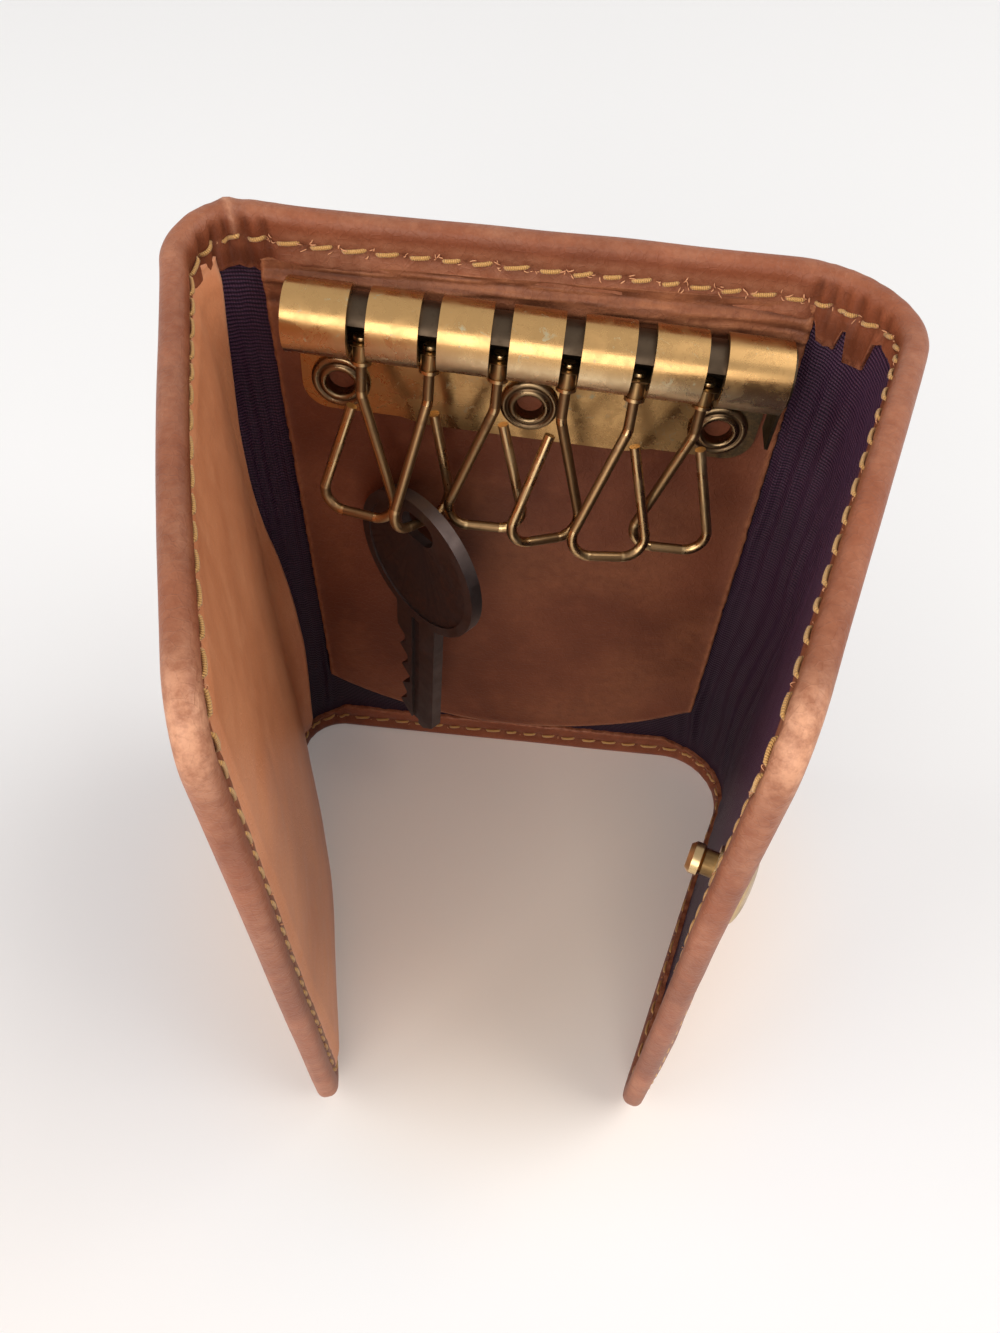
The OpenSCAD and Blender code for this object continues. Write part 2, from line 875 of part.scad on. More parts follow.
// A saddle that rides in the tube, with a collar reaching out through the window
module swivel(i) {
    color("#c9a860")
        on_bar()
            translate([hook_x(i), bar_y, bar_z])
                rotate([-hook_swing[i], 0, 0])
                    difference() {
                        union() {
                            difference() {
                                translate([-shoe_len / 2, 0, 0])
                                    rotate([0, 90, 0])
                                        cylinder(r = shoe_r, h = shoe_len);
                                translate([-shoe_len, -tube_r, -shoe_flat])
                                    cube([2 * shoe_len, 2 * tube_r, 2 * tube_r]);
                            }
                            translate([0, 0, -collar_rim_from])
                                cylinder(r = collar_r, h = collar_rim_from - shoe_flat - swivel_clearance);
                            translate([0, 0, -collar_rim_from - collar_rim_t])
                                cylinder(r = collar_rim_r, h = collar_rim_t);
                        }
                        translate([0, 0, -collar_rim_from - collar_rim_t - cut])
                            cylinder(r = wire_r + stem_clearance, h = knuckle_r + 2 * cut);
                    }
}

// How far a loop's bottom sides would meet outside its half width, were they not bent round
loop_corner_out = 0.95;

function unit(v) = v / norm(v);
function left_of(v) = [-v[1], v[0]];
function turn_between(a, b) = acos(max(-1, min(1, unit(a) * unit(b))));
function way_between(a, b) = a[0] * b[1] - a[1] * b[0] > 0 ? 1 : -1;

// Wire bent in the xy plane through points, with one bend radius, and square cut ends
module bent_wire(points, bend_r, r) {
    last = len(points) - 1;
    turns = [for (i = [0 : last]) i == 0 || i == last ? 0
        : turn_between(points[i] - points[i - 1], points[i + 1] - points[i])];
    setback = [for (t = turns) bend_r * tan(t / 2)];
    for (i = [0 : last - 1]) {
        ahead = unit(points[i + 1] - points[i]);
        near = setback[i] - (i == 0 ? 0 : lap);
        far = setback[i + 1] - (i == last - 1 ? 0 : lap);
        translate(points[i] + near * ahead)
            rotate([0, 0, atan2(ahead[1], ahead[0])])
                rotate([0, 90, 0])
                    cylinder(r = r - trace, h = norm(points[i + 1] - points[i]) - near - far, $fn = 24);
    }
    for (i = [1 : last - 1]) {
        into = unit(points[i] - points[i - 1]);
        away = unit(points[i + 1] - points[i]);
        way = way_between(into, away);
        centre = points[i] - setback[i] * into + way * bend_r * left_of(into);
        start = way > 0 ? -left_of(into) : left_of(away);
        translate(centre)
            rotate([0, 0, atan2(start[1], start[0])])
                rotate_extrude(angle = turns[i])
                    translate([bend_r, 0])
                        circle(r = r, $fn = 24);
    }
}

// A hook's wire: round head, stem, fixed leg, loop and the cut end beside the stem
module hook(i) {
    side = hook_side[i];
    corner = loop_half_w + loop_corner_out;
    color("#a98f55")
        on_stem(i) {
            rotate([90, 0, 0])
                bent_wire([
                    [0, head_t / 2 - head_seat], [0, -stem_drop], [side * corner, -loop_drop],
                    [-side * corner, -loop_drop], [-side * cut_end_side, -cut_end_drop]
                ], loop_bend_r, wire_r);
            translate([0, 0, -head_seat])
                rotate_extrude()
                    difference() {
                        polygon(rounded_box([-head_r, 0], [head_r, head_t], head_t / 3, edge_steps));
                        translate([-2 * head_r, -cut])
                            square([2 * head_r, head_t + 2 * cut]);
                    }
        }
}

// Key

bow_r = bow_d / 2;
bow_rim_w = 1.4;
bow_recess = 0.25;
blade_from = sqrt(pow(bow_r, 2) - pow(blade_w / 2, 2));
groove_w = 1.6;
groove_t = 0.5;
// Cuts along the blade, as shares of its length and width
bitting_shares = [
    [0.2, 0], [0.25, 0.2], [0.31, 0.2], [0.36, 0.06], [0.42, 0.28], [0.48, 0.28], [0.54, 0.1],
    [0.6, 0.34], [0.66, 0.34], [0.72, 0.12], [0.78, 0.24], [0.84, 0.24], [0.9, 0.06], [1, 0.42]
];

// Drawn in the xz plane, hanging from its hole, with the wire's middle at the origin
module key() {
    hole_top = key_hang_gap + wire_r;
    bow_middle = hole_top + key_hole_top - bow_r;
    blade_tip = hole_top + key_hole_top - key_len;
    blade_top = bow_middle - blade_from;
    blade_l = blade_top - blade_tip;
    hang = atan(cos(hook_swivel[1]) * tan(hook_swing[1]));
    end_r = key_hole_h / 2;
    color("#4b433f")
        on_stem(1)
            translate([0, 0, -loop_drop])
                rotate([hang, 0, 0])
                    rotate([0, -key_pitch, 0])
                        rotate([0, 0, 90])
                            rotate([90, 0, 0])
                                difference() {
                                    union() {
                                        translate([0, bow_middle, -key_t / 2])
                                            cylinder(r = bow_r, h = key_t);
                                        translate([0, 0, -key_t / 2])
                                            linear_extrude(key_t)
                                                polygon(concat(
                                                    [[-blade_w / 2, blade_top], [-blade_w / 2, blade_tip + blade_w / 4],
                                                     [-blade_w / 4, blade_tip]],
                                                    [for (i = [len(bitting_shares) - 1 : -1 : 0])
                                                        [blade_w / 2 - blade_w * bitting_shares[i][1],
                                                         blade_top - blade_l * bitting_shares[i][0]]],
                                                    [[blade_w / 2, blade_top]]
                                                ));
                                    }
                                    for (face = [-1, 1]) {
                                        translate([0, bow_middle, face * key_t / 2 - (face > 0 ? bow_recess : 0)])
                                            translate([0, 0, face > 0 ? 0 : -cut])
                                                cylinder(r = bow_r - bow_rim_w, h = bow_recess + cut);
                                        translate([-groove_w / 2, blade_tip - cut,
                                                   face > 0 ? key_t / 2 - groove_t : -key_t / 2 - cut])
                                            cube([groove_w, blade_l, groove_t + cut]);
                                    }
                                    translate([0, hole_top - end_r, -key_t]) {
                                        for (x = [-1, 1])
                                            translate([x * (key_hole_w / 2 - end_r), 0, 0])
                                                cylinder(r = end_r, h = 2 * key_t);
                                        translate([end_r - key_hole_w / 2, -end_r, 0])
                                            cube([key_hole_w - key_hole_h, key_hole_h, 2 * key_t]);
                                    }
                                }
}

back_cover();
back_stiffener();
back_lining();
key_patch();
hook_plate();
carrier_tube();
tube_end_stop();
eyelet(-1);  // eyelet_left
eyelet(0);  // eyelet_centre
eyelet(1);  // eyelet_right
left_spine_cover();
left_spine_lining();
left_spine_pocket();
left_flap_cover();
left_flap_stiffener();
left_flap_lining();
pocket_panel();
snap_socket();
socket_post();
snap_spring();
right_spine_cover();
right_spine_lining();
right_flap_cover();
right_flap_stiffener();
right_flap_lining();
snap_stud();
snap_cap();
swivel(0);  // swivel_1
swivel(1);  // swivel_2
swivel(2);  // swivel_3
swivel(3);  // swivel_4
swivel(4);  // swivel_5
swivel(5);  // swivel_6
hook(0);  // hook_1
hook(1);  // hook_2
hook(2);  // hook_3
hook(3);  // hook_4
hook(4);  // hook_5
hook(5);  // hook_6
key();
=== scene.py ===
import math
import bpy
import numpy as np
from mathutils import Matrix, Vector


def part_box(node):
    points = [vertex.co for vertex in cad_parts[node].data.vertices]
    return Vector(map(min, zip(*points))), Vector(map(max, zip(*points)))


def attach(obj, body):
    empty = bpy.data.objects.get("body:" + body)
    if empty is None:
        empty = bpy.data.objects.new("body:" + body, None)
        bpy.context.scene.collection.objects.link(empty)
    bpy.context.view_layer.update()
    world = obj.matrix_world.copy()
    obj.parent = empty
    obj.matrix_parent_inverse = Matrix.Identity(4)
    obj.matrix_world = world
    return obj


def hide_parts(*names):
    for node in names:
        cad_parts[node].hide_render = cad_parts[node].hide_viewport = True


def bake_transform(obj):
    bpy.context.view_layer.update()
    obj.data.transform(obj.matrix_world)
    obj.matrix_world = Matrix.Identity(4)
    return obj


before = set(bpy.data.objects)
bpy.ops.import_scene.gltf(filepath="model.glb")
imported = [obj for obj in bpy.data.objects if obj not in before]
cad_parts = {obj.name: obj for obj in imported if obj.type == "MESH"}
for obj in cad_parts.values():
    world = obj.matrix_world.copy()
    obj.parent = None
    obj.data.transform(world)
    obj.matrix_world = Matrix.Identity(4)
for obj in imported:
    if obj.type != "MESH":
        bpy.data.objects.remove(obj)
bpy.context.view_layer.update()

MM = 0.001

# ---------------------------------------------------------------- sizes, in millimetres
CASE_W, CASE_H, T = 78.0, 97.0, 2.6
# Each side: radius of its fold outside, lean of side wall and flap in degrees, length past the fold
LEFT = dict(r=9.0, lean=17.4, length=59.287)
RIGHT = dict(r=12.0, lean=17.6, length=51.310)
# Radius of the flaps' corners, and thickness and usual width of the turned hem
CORNER, HEM_T, HEM_W = 7.0, 0.7, 6.0
# The middle of the back's thickness stands this far behind the origin
SHIFT = 31.532698
# Along the sheet from the middle of the back: u0 and u1 are the fold's ends, split is on the side wall
for s in (LEFT, RIGHT):
    s["mid"] = s["r"] - T / 2
    s["u0"] = CASE_W / 2 - s["r"]
    s["arc"] = s["mid"] * math.radians(90 + s["lean"])
    s["u1"] = s["u0"] + s["arc"]
    s["end"] = s["u1"] + s["length"]
    s["split"] = s["u1"] + 3.0


def path(w):
    """Middle line of the case in plan: w runs from the left flap through the back to the right flap."""
    w = np.asarray(w, float)
    x, y = np.zeros_like(w), np.zeros_like(w)
    nx, ny = np.zeros_like(w), np.zeros_like(w)
    for sgn, s in ((-1, LEFT), (1, RIGHT)):
        m = (w >= 0) if sgn > 0 else (w < 0)
        u = np.abs(w)
        th = np.clip((u - s["u0"]) / s["mid"], 0, s["arc"] / s["mid"])
        far = np.maximum(u - s["u1"], 0)
        lean = math.radians(s["lean"])
        px = np.where(u < s["u0"], -u, -s["u0"] - s["mid"] * np.sin(th) + far * math.sin(lean))
        py = T / 2 - s["mid"] * (1 - np.cos(th)) - far * math.cos(lean)
        x = np.where(m, -px * sgn, x)
        y = np.where(m, py, y)
        nx = np.where(m, np.sin(th) * sgn, nx)
        ny = np.where(m, np.cos(th), ny)
    return x, y + SHIFT, nx, ny


def place(w, z, b):
    """Points in metres: b is the offset out of the middle of the thickness, toward the outer face."""
    x, y, nx, ny = path(w)
    return np.stack([x + nx * b, y + ny * b, np.broadcast_to(z, x.shape)], -1) * MM


# ---------------------------------------------------------------- seeded smooth noise
_lattice = np.random.RandomState(7).rand(8, 256, 256)


def noise(x, y, k=0):
    """Smooth noise between -1 and 1."""
    x, y = np.broadcast_arrays(np.asarray(x, float), np.asarray(y, float))
    i, j = np.floor(x).astype(int), np.floor(y).astype(int)
    fx, fy = x - i, y - j
    fx, fy = fx * fx * (3 - 2 * fx), fy * fy * (3 - 2 * fy)
    g = lambda a, b: _lattice[k][a % 256, b % 256]
    low = g(i, j) * (1 - fx) + g(i + 1, j) * fx
    high = g(i, j + 1) * (1 - fx) + g(i + 1, j + 1) * fx
    return 2 * (low * (1 - fy) + high * fy) - 1


def bump(x, c, h):
    """1 at c, falling off on both sides over about h."""
    return np.exp(-((np.asarray(x, float) - c) / h) ** 2)


def step(x, a, b):
    """Smooth rise from 0 at a to 1 at b."""
    t = np.clip((np.asarray(x, float) - a) / (b - a), 0, 1)
    return t * t * (3 - 2 * t)


# ---------------------------------------------------------------- materials
class Mat:
    """A material built node by node. Values may be numbers, colours or sockets."""

    def __init__(self, name):
        self.m = bpy.data.materials.new(name)
        self.m.use_nodes = True
        self.t = self.m.node_tree
        self.t.nodes.clear()
        self.bsdf = self.n("ShaderNodeBsdfPrincipled")
        out = self.n("ShaderNodeOutputMaterial")
        self.t.links.new(self.bsdf.outputs[0], out.inputs[0])

    def n(self, kind, ins=None, **props):
        node = self.t.nodes.new(kind)
        for k, v in props.items():
            setattr(node, k, v)
        for k, v in (ins or {}).items():
            self.put(node.inputs[k], v)
        return node

    def put(self, socket, v):
        if hasattr(v, "is_output"):
            self.t.links.new(v, socket)
        else:
            socket.default_value = v

    def math(self, op, a, b=0.0, clamp=False):
        return self.n("ShaderNodeMath", {0: a, 1: b}, operation=op, use_clamp=clamp).outputs[0]

    def mix(self, f, a, b):
        node = self.n("ShaderNodeMix", {0: f}, data_type="RGBA")
        self.put(node.inputs[6], a if hasattr(a, "is_output") else (*a, 1))
        self.put(node.inputs[7], b if hasattr(b, "is_output") else (*b, 1))
        return node.outputs[2]

    def ramp(self, v, stops, mode="LINEAR"):
        node = self.n("ShaderNodeValToRGB", {0: v})
        node.color_ramp.interpolation = mode
        e = node.color_ramp.elements
        while len(e) < len(stops):
            e.new(0.5)
        for el, (p, c) in zip(e, stops):
            el.position = p
            el.color = (c, c, c, 1) if isinstance(c, (int, float)) else (*c, 1)
        return node.outputs[0]

    def noise(self, vec, scale, detail, rough, dist=0.0):
        ins = {"Vector": vec, "Scale": scale, "Detail": detail, "Roughness": rough, "Distortion": dist}
        return self.n("ShaderNodeTexNoise", ins).outputs[0]

    def voronoi(self, vec, scale, feature="F1", rand=1.0):
        ins = {"Vector": vec, "Scale": scale, "Randomness": rand}
        return self.n("ShaderNodeTexVoronoi", ins, feature=feature).outputs[0]

    def between(self, v, lo, hi, out_lo=0.0, out_hi=1.0, **props):
        """v brought from lo..hi to out_lo..out_hi."""
        ins = {0: v, 1: lo, 2: hi, 3: out_lo, 4: out_hi}
        return self.n("ShaderNodeMapRange", ins, **props).outputs[0]

    def times(self, a, *others):
        for b in others:
            a = self.math("MULTIPLY", a, b)
        return a

    def plus(self, a, b):
        return self.math("ADD", a, b)

    def fixed(self, **k):
        """Constants on the shader's own sockets."""
        for name, v in k.items():
            self.bsdf.inputs[name.replace("_", " ")].default_value = v

    def attr(self, name, out=2):
        return self.n("ShaderNodeAttribute", attribute_name=name).outputs[out]

    def uv(self):
        return self.n("ShaderNodeUVMap", uv_map="UVMap").outputs[0]

    def obj(self):
        return self.n("ShaderNodeTexCoord").outputs["Object"]

    def stretch(self, vec, sx, sy, sz):
        return self.n("ShaderNodeMapping", {"Vector": vec, "Scale": (sx, sy, sz)}).outputs[0]

    def bumps(self, *layers):
        """layers: (height socket, depth in metres)."""
        prev = None
        for h, d in layers:
            node = self.n("ShaderNodeBump", {"Height": h, "Strength": 1.0, "Distance": d})
            if prev is not None:
                self.t.links.new(prev, node.inputs["Normal"])
            prev = node.outputs[0]
        self.t.links.new(prev, self.bsdf.inputs["Normal"])

    def set(self, **k):
        for name, v in k.items():
            self.put(self.bsdf.inputs[name.replace("_", " ")], (*v, 1) if isinstance(v, tuple) else v)


TORN = (0.42, 0.15, 0.075)


def leather(name, dark, base, light, worn, rough, spec, grain=1.0):
    g = Mat(name)
    p = g.attr("flat", 1)
    big = g.noise(p, 45, 3, 0.55)
    mid = g.noise(p, 260, 4, 0.6)
    fine = g.noise(p, 1800, 3, 0.6)
    col = g.mix(g.ramp(big, [(0.32, 0), (0.68, 1)]), dark, base)
    col = g.mix(g.ramp(mid, [(0.48, 0), (0.8, 0.5)]), col, light)
    cells = g.voronoi(p, 2300, "F1", 0.9)
    crack = g.voronoi(p, 900, "DISTANCE_TO_EDGE")
    col = g.mix(g.times(g.ramp(cells, [(0.25, 0), (0.75, 1)]), 0.22), col, dark)
    pores = g.ramp(g.voronoi(p, 620), [(0.0, 1), (0.09, 0)])
    col = g.mix(g.times(pores, 0.35), col, dark)
    # What the sheets' attributes say: worn places, with painted light on the hem's inner face along the top
    # of the back; painted shade in furrows; stitch holes and torn edges
    speck = g.ramp(g.noise(p, 700, 4, 0.7), [(0.35, 0), (0.62, 1)])
    w = g.math("MULTIPLY", g.attr("wear"), g.plus(g.times(speck, 0.6), 0.4), clamp=True)
    col = g.mix(w, col, worn)
    col = g.mix(g.times(g.attr("shade"), 0.80), col, tuple(c * 0.5 for c in dark))
    col = g.mix(g.attr("pucker"), col, tuple(c * 0.45 for c in dark))
    col = g.mix(g.times(g.attr("tear"), speck), col, TORN)
    g.set(Base_Color=col, Roughness=g.plus(g.times(mid, 0.22), rough - 0.11))
    g.fixed(Specular_IOR_Level=spec, Coat_Weight=0.03, Coat_Roughness=0.3)
    g.bumps((g.noise(p, 120, 3, 0.5), 0.00012 * grain), (cells, 0.00003 * grain),
            (g.ramp(crack, [(0.0, 0), (0.06, 1)]), 0.000022 * grain), (fine, 0.00003 * grain))
    return g.m


# Pitches of the satin in metres, along the height and along the width, and the slant of its ribs
RIB, YARN, SLANT = 0.00046, 0.00034, 0.22


def satin(name):
    g = Mat(name)
    p = g.uv()
    along, up, _ = g.n("ShaderNodeSeparateXYZ", {0: p}).outputs
    v = g.plus(up, g.times(g.noise(p, 60, 2, 0.5), 0.0035))
    v = g.plus(v, g.times(g.noise(p, 500, 2, 0.5), 0.0003))
    v = g.plus(v, g.times(along, SLANT))
    rib = g.math("SINE", g.times(v, 2 * math.pi / RIB))
    thread = g.math("SINE", g.times(along, 2 * math.pi / YARN))
    rib01 = g.plus(g.times(rib, 0.5), 0.5)
    dots = g.times(rib01, g.plus(g.times(thread, 0.3), 0.7))
    cloud = g.ramp(g.noise(p, 90, 3, 0.55), [(0.3, 0), (0.7, 1)])
    col = g.mix(cloud, (0.0065, 0.0013, 0.0095), (0.019, 0.0038, 0.020))
    # Painted sheen: the crests of the ribs and threads are lighter
    col = g.mix(g.times(dots, 0.72), col, (0.19, 0.080, 0.140))
    # Painted shade, darker toward the foot of the case, and grains of dust in places
    col = g.mix(g.between(up, 0.078, 0.015, 0.15, 0.72), col, (0.0035, 0.0009, 0.0045))
    dust = g.ramp(g.voronoi(p, 520), [(0.0, 1), (0.045, 0)])
    pick = g.ramp(g.noise(p, 230, 1, 0.5), [(0.56, 0), (0.6, 1)])
    col = g.mix(g.times(dust, pick, 0.7), col, (0.45, 0.36, 0.40))
    g.set(Base_Color=col, Roughness=g.plus(g.times(rib01, 0.1), 0.46))
    g.fixed(Sheen_Weight=0.08, Sheen_Roughness=0.4, Sheen_Tint=(0.55, 0.30, 0.55, 1), Specular_IOR_Level=0.2)
    g.bumps((g.noise(p, 130, 3, 0.5), 0.00012), (rib, 0.00004), (thread, 0.000012))
    return g.m


# The knuckles in metres: a pale painted highlight lies on their front and lower half, and the last one is
# rusty
BAR_SLOPE = math.tan(math.radians(3.0))
HIGHLIGHT_HEIGHTS, HIGHLIGHT_DEPTHS = (0.0885, 0.0858), (0.0265, 0.0255)
RUSTY_RIGHT, RUSTY_LOW = (0.0185, 0.0225), (0.0862, 0.0842)
VERDIGRIS, RUST = (0.18, 0.33, 0.28), (0.10, 0.075, 0.045)


def metal(name, base, dark, bright, rough, tarnish, verdigris=0.0, scale=1.0, painted_highlight=None):
    g = Mat(name)
    p = g.obj()
    blotch = g.noise(p, 330 * scale, 4, 0.62, 0.4)
    fine = g.noise(p, 1900 * scale, 3, 0.6)
    lines = g.noise(g.stretch(p, 0.25, 1.0, 5.0), 900 * scale, 3, 0.7)
    edge = g.n("ShaderNodeNewGeometry").outputs["Pointiness"]
    worn = g.ramp(edge, [(0.505, 0), (0.54, 1)])
    pit = g.ramp(edge, [(0.44, 1), (0.497, 0)])
    t = g.times(g.ramp(blotch, [(0.42, 0), (0.66, 1)]), tarnish)
    t = g.math("MAXIMUM", t, g.times(pit, 0.8))
    col = g.mix(t, base, dark)
    col = g.mix(g.times(worn, 0.7), col, bright)
    col = g.mix(g.times(g.ramp(fine, [(0.6, 0), (0.75, 1)]), 0.5 * tarnish), col, dark)
    rgh = g.plus(g.times(t, 0.3), rough)
    met = 1.0
    if verdigris:
        v = g.times(g.ramp(g.noise(p, 520 * scale, 5, 0.75, 0.6), [(0.60, 0), (0.69, 1)]), verdigris)
        col = g.mix(v, col, VERDIGRIS)
        rgh = g.plus(rgh, g.times(v, 0.4))
        met = g.math("SUBTRACT", 1.0, g.times(v, 0.8))
    if painted_highlight:
        x, y, z = g.n("ShaderNodeSeparateXYZ", {0: p}).outputs
        high = g.plus(z, g.times(x, BAR_SLOPE))
        low = g.between(high, *HIGHLIGHT_HEIGHTS, interpolation_type="SMOOTHSTEP")
        front = g.between(y, *HIGHLIGHT_DEPTHS)
        # Painted highlight on the front and lower half of the knuckles
        col = g.mix(g.times(low, front, g.ramp(blotch, [(0.4, 0.95), (0.75, 0.5)])), col, painted_highlight)
        patchy = g.ramp(g.noise(p, 1100, 4, 0.8), [(0.3, 0.5), (0.6, 0.95)])
        rust = g.times(g.between(x, *RUSTY_RIGHT), g.between(high, *RUSTY_LOW), patchy)
        col = g.mix(rust, col, RUST)
        rgh = g.plus(rgh, g.times(rust, 0.3))
    g.set(Base_Color=col, Roughness=rgh, Metallic=met)
    g.bumps((blotch, 0.00001), (lines, 0.000006), (fine, 0.000005))
    return g.m


def thread_mat():
    g = Mat("thread_ochre")
    along, around, _ = g.n("ShaderNodeSeparateXYZ", {0: g.uv()}).outputs
    ply = g.math("SINE", g.plus(g.times(along, 2 * math.pi * 5.0), g.times(around, 2 * math.pi)))
    ply01 = g.plus(g.times(ply, 0.5), 0.5)
    col = g.mix(g.noise(g.obj(), 160, 3, 0.6), (0.62, 0.30, 0.07), (0.90, 0.53, 0.18))
    # Painted shade in the grooves between the plies
    col = g.mix(g.times(g.math("SUBTRACT", 1.0, ply01), 0.55), col, (0.30, 0.13, 0.03))
    g.set(Base_Color=col, Roughness=0.6)
    g.fixed(Sheen_Weight=0.25)
    g.bumps((ply01, 0.00006))
    return g.m


def plain(name, c1, c2, scale, rough):
    g = Mat(name)
    p = g.obj()
    g.set(Base_Color=g.mix(g.noise(p, scale, 4, 0.6), c1, c2), Roughness=rough)
    g.bumps((g.noise(p, scale * 3, 3, 0.6), 0.00004))
    return g.m


M_COVER = leather("cover_leather", (0.175, 0.046, 0.020), (0.315, 0.091, 0.040), (0.42, 0.138, 0.066),
                  (0.74, 0.37, 0.22), rough=0.42, spec=0.16)
M_PATCH = leather("patch_leather", (0.135, 0.038, 0.018), (0.225, 0.070, 0.034), (0.285, 0.097, 0.048),
                  (0.47, 0.185, 0.082), rough=0.46, spec=0.15)
M_POCKET = leather("pocket_leather", (0.62, 0.22, 0.096), (0.79, 0.32, 0.150), (0.83, 0.39, 0.20),
                   (0.84, 0.50, 0.32), rough=0.38, grain=0.7, spec=0.2)
M_SATIN = satin("purple_satin")
M_THREAD = thread_mat()
M_BOARD = plain("grey_board", (0.42, 0.36, 0.28), (0.52, 0.46, 0.37), 900, 0.9)
M_PLATE = metal("plate_brass", (0.42, 0.225, 0.078), (0.16, 0.078, 0.03), (0.52, 0.31, 0.125), 0.22, 0.5,
                verdigris=0.4, painted_highlight=(0.86, 0.68, 0.42))
M_TUBE = metal("tube_metal", (0.040, 0.026, 0.017), (0.015, 0.009, 0.006), (0.08, 0.055, 0.035), 0.36, 0.7)
M_EYELET = metal("eyelet_metal", (0.17, 0.105, 0.055), (0.055, 0.032, 0.018), (0.34, 0.23, 0.12), 0.24, 0.6)
M_SWIVEL = metal("swivel_metal", (0.42, 0.26, 0.11), (0.17, 0.09, 0.04), (0.55, 0.37, 0.18), 0.27, 0.5)
M_HOOK = metal("hook_metal", (0.44, 0.275, 0.125), (0.14, 0.075, 0.036), (0.62, 0.43, 0.22), 0.23, 0.85,
               verdigris=0.12, scale=0.8)
M_SNAP = metal("snap_metal", (0.48, 0.30, 0.12), (0.18, 0.10, 0.04), (0.7, 0.5, 0.26), 0.26, 0.5)
M_SPRING = metal("spring_metal", (0.5, 0.5, 0.5), (0.2, 0.19, 0.18), (0.8, 0.8, 0.8), 0.3, 0.3)
M_KEY = metal("key_metal", (0.115, 0.082, 0.075), (0.045, 0.03, 0.028), (0.13, 0.098, 0.088), 0.48, 0.6,
              scale=0.7)
M_FRAY = plain("torn_flesh", (0.60, 0.24, 0.11), (0.80, 0.42, 0.22), 900, 0.8)

# By a word in the node's name; the first that fits counts, and the covers are left over
BY_NAME = (("hook_plate", M_PLATE), ("hook", M_HOOK), ("swivel", M_SWIVEL), ("carrier_tube", M_TUBE),
           ("tube_end_stop", M_TUBE), ("eyelet", M_EYELET), ("socket_post", M_EYELET),
           ("snap_spring", M_SPRING), ("snap", M_SNAP), ("key_patch", M_PATCH), ("key", M_KEY),
           ("pocket", M_POCKET), ("stiffener", M_BOARD), ("lining", M_SATIN))
for node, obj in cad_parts.items():
    obj.data.materials.clear()
    obj.data.materials.append(next((m for word, m in BY_NAME if word in node), M_COVER))


# ---------------------------------------------------------------- mesh helpers
def make(name, verts, faces, material, uv=None, attrs=None):
    me = bpy.data.meshes.new(name)
    me.from_pydata([tuple(v) for v in verts], [], [tuple(f) for f in faces])
    me.update()
    me.polygons.foreach_set("use_smooth", [True] * len(me.polygons))
    loops = np.zeros(len(me.loops), int)
    me.loops.foreach_get("vertex_index", loops)
    if uv is not None:
        layer = me.uv_layers.new(name="UVMap")
        layer.data.foreach_set("uv", np.asarray(uv, np.float32)[loops].ravel())
    for k, v in (attrs or {}).items():
        v = np.asarray(v, np.float32)
        a = me.attributes.new(k, "FLOAT_VECTOR" if v.ndim > 1 else "FLOAT", "POINT")
        a.data.foreach_set("vector" if v.ndim > 1 else "value", v.ravel())
    me.materials.append(material)
    ob = bpy.data.objects.new(name, me)
    bpy.context.scene.collection.objects.link(ob)
    return ob


def merge(verts, faces, arrays, tol=1e-7):
    """Joins vertices that coincide."""
    key = np.round(verts / tol).astype(np.int64)
    _, first, inv = np.unique(key, axis=0, return_index=True, return_inverse=True)
    inv = inv.ravel()
    out = []
    for f in faces:
        g = []
        for i in f:
            j = inv[i]
            if not g or (g[-1] != j and g[0] != j):
                g.append(j)
        if len(g) > 2:
            out.append(g)
    return verts[first], out, [a[first] for a in arrays]


def normals_of(verts, faces):
    me = bpy.data.meshes.new("tmp")
    me.from_pydata([tuple(v) for v in verts], [], [tuple(f) for f in faces])
    me.update()
    n = np.zeros(len(verts) * 3, np.float32)
    me.vertex_normals.foreach_get("vector", n)
    bpy.data.meshes.remove(me)
    return n.reshape(-1, 3)


# The four stretches of leather, each across one hinge: name, body before, body after, from, to, hinge
PIECES = [
    ("left_flap", "left_spine", "left_flap", -1e3, -LEFT["split"], "left_flap_fold"),
    ("left_back", "back", "left_spine", -LEFT["split"], 0.0, "left_fold"),
    ("right_back", "back", "right_spine", 0.0, RIGHT["split"], "right_fold"),
    ("right_flap", "right_spine", "right_flap", RIGHT["split"], 1e3, "right_flap_fold"),
]


def bend(ob):
    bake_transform(ob)


def cut_in_four(label, verts, faces, w, material, uv, attrs, replaces=None):
    """Splits a sheet over the whole case at the middle of the back and of each spine, without a seam."""
    nrm = normals_of(verts, faces)
    fw = np.array([np.mean([w[i] for i in f]) for f in faces])
    made = {}
    for name, _, _, lo, hi, _ in PIECES:
        pick = [f for f, c in zip(faces, fw) if lo < c < hi]
        used = np.unique(np.concatenate([np.array(f) for f in pick]))
        new = -np.ones(len(verts), int)
        new[used] = np.arange(len(used))
        ob = make(f"{label}_{name}", verts[used], [[new[i] for i in f] for f in pick], material,
                  uv[used], {k: v[used] for k, v in attrs.items()})
        ob.data.normals_split_custom_set_from_vertices([tuple(n) for n in nrm[used]])
        bend(ob)
        if replaces:
            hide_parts(*replaces[name])
        made[name] = ob
    return made


# ---------------------------------------------------------------- outline of the case, unrolled
WL, WR = -LEFT["end"], RIGHT["end"]


def stations(marks, pitch):
    """Points from mark to mark, about a pitch apart."""
    out = [marks[0]]
    for a, b in zip(marks, marks[1:]):
        n = int(round((b - a) / pitch))
        out += list(a + (b - a) * np.arange(1, n + 1) / n)
    return np.array(out)


WS = stations([WL + CORNER, -LEFT["split"], 0.0, RIGHT["split"], WR - CORNER], 0.6)
ZS = np.linspace(CORNER, CASE_H - CORNER, 140)


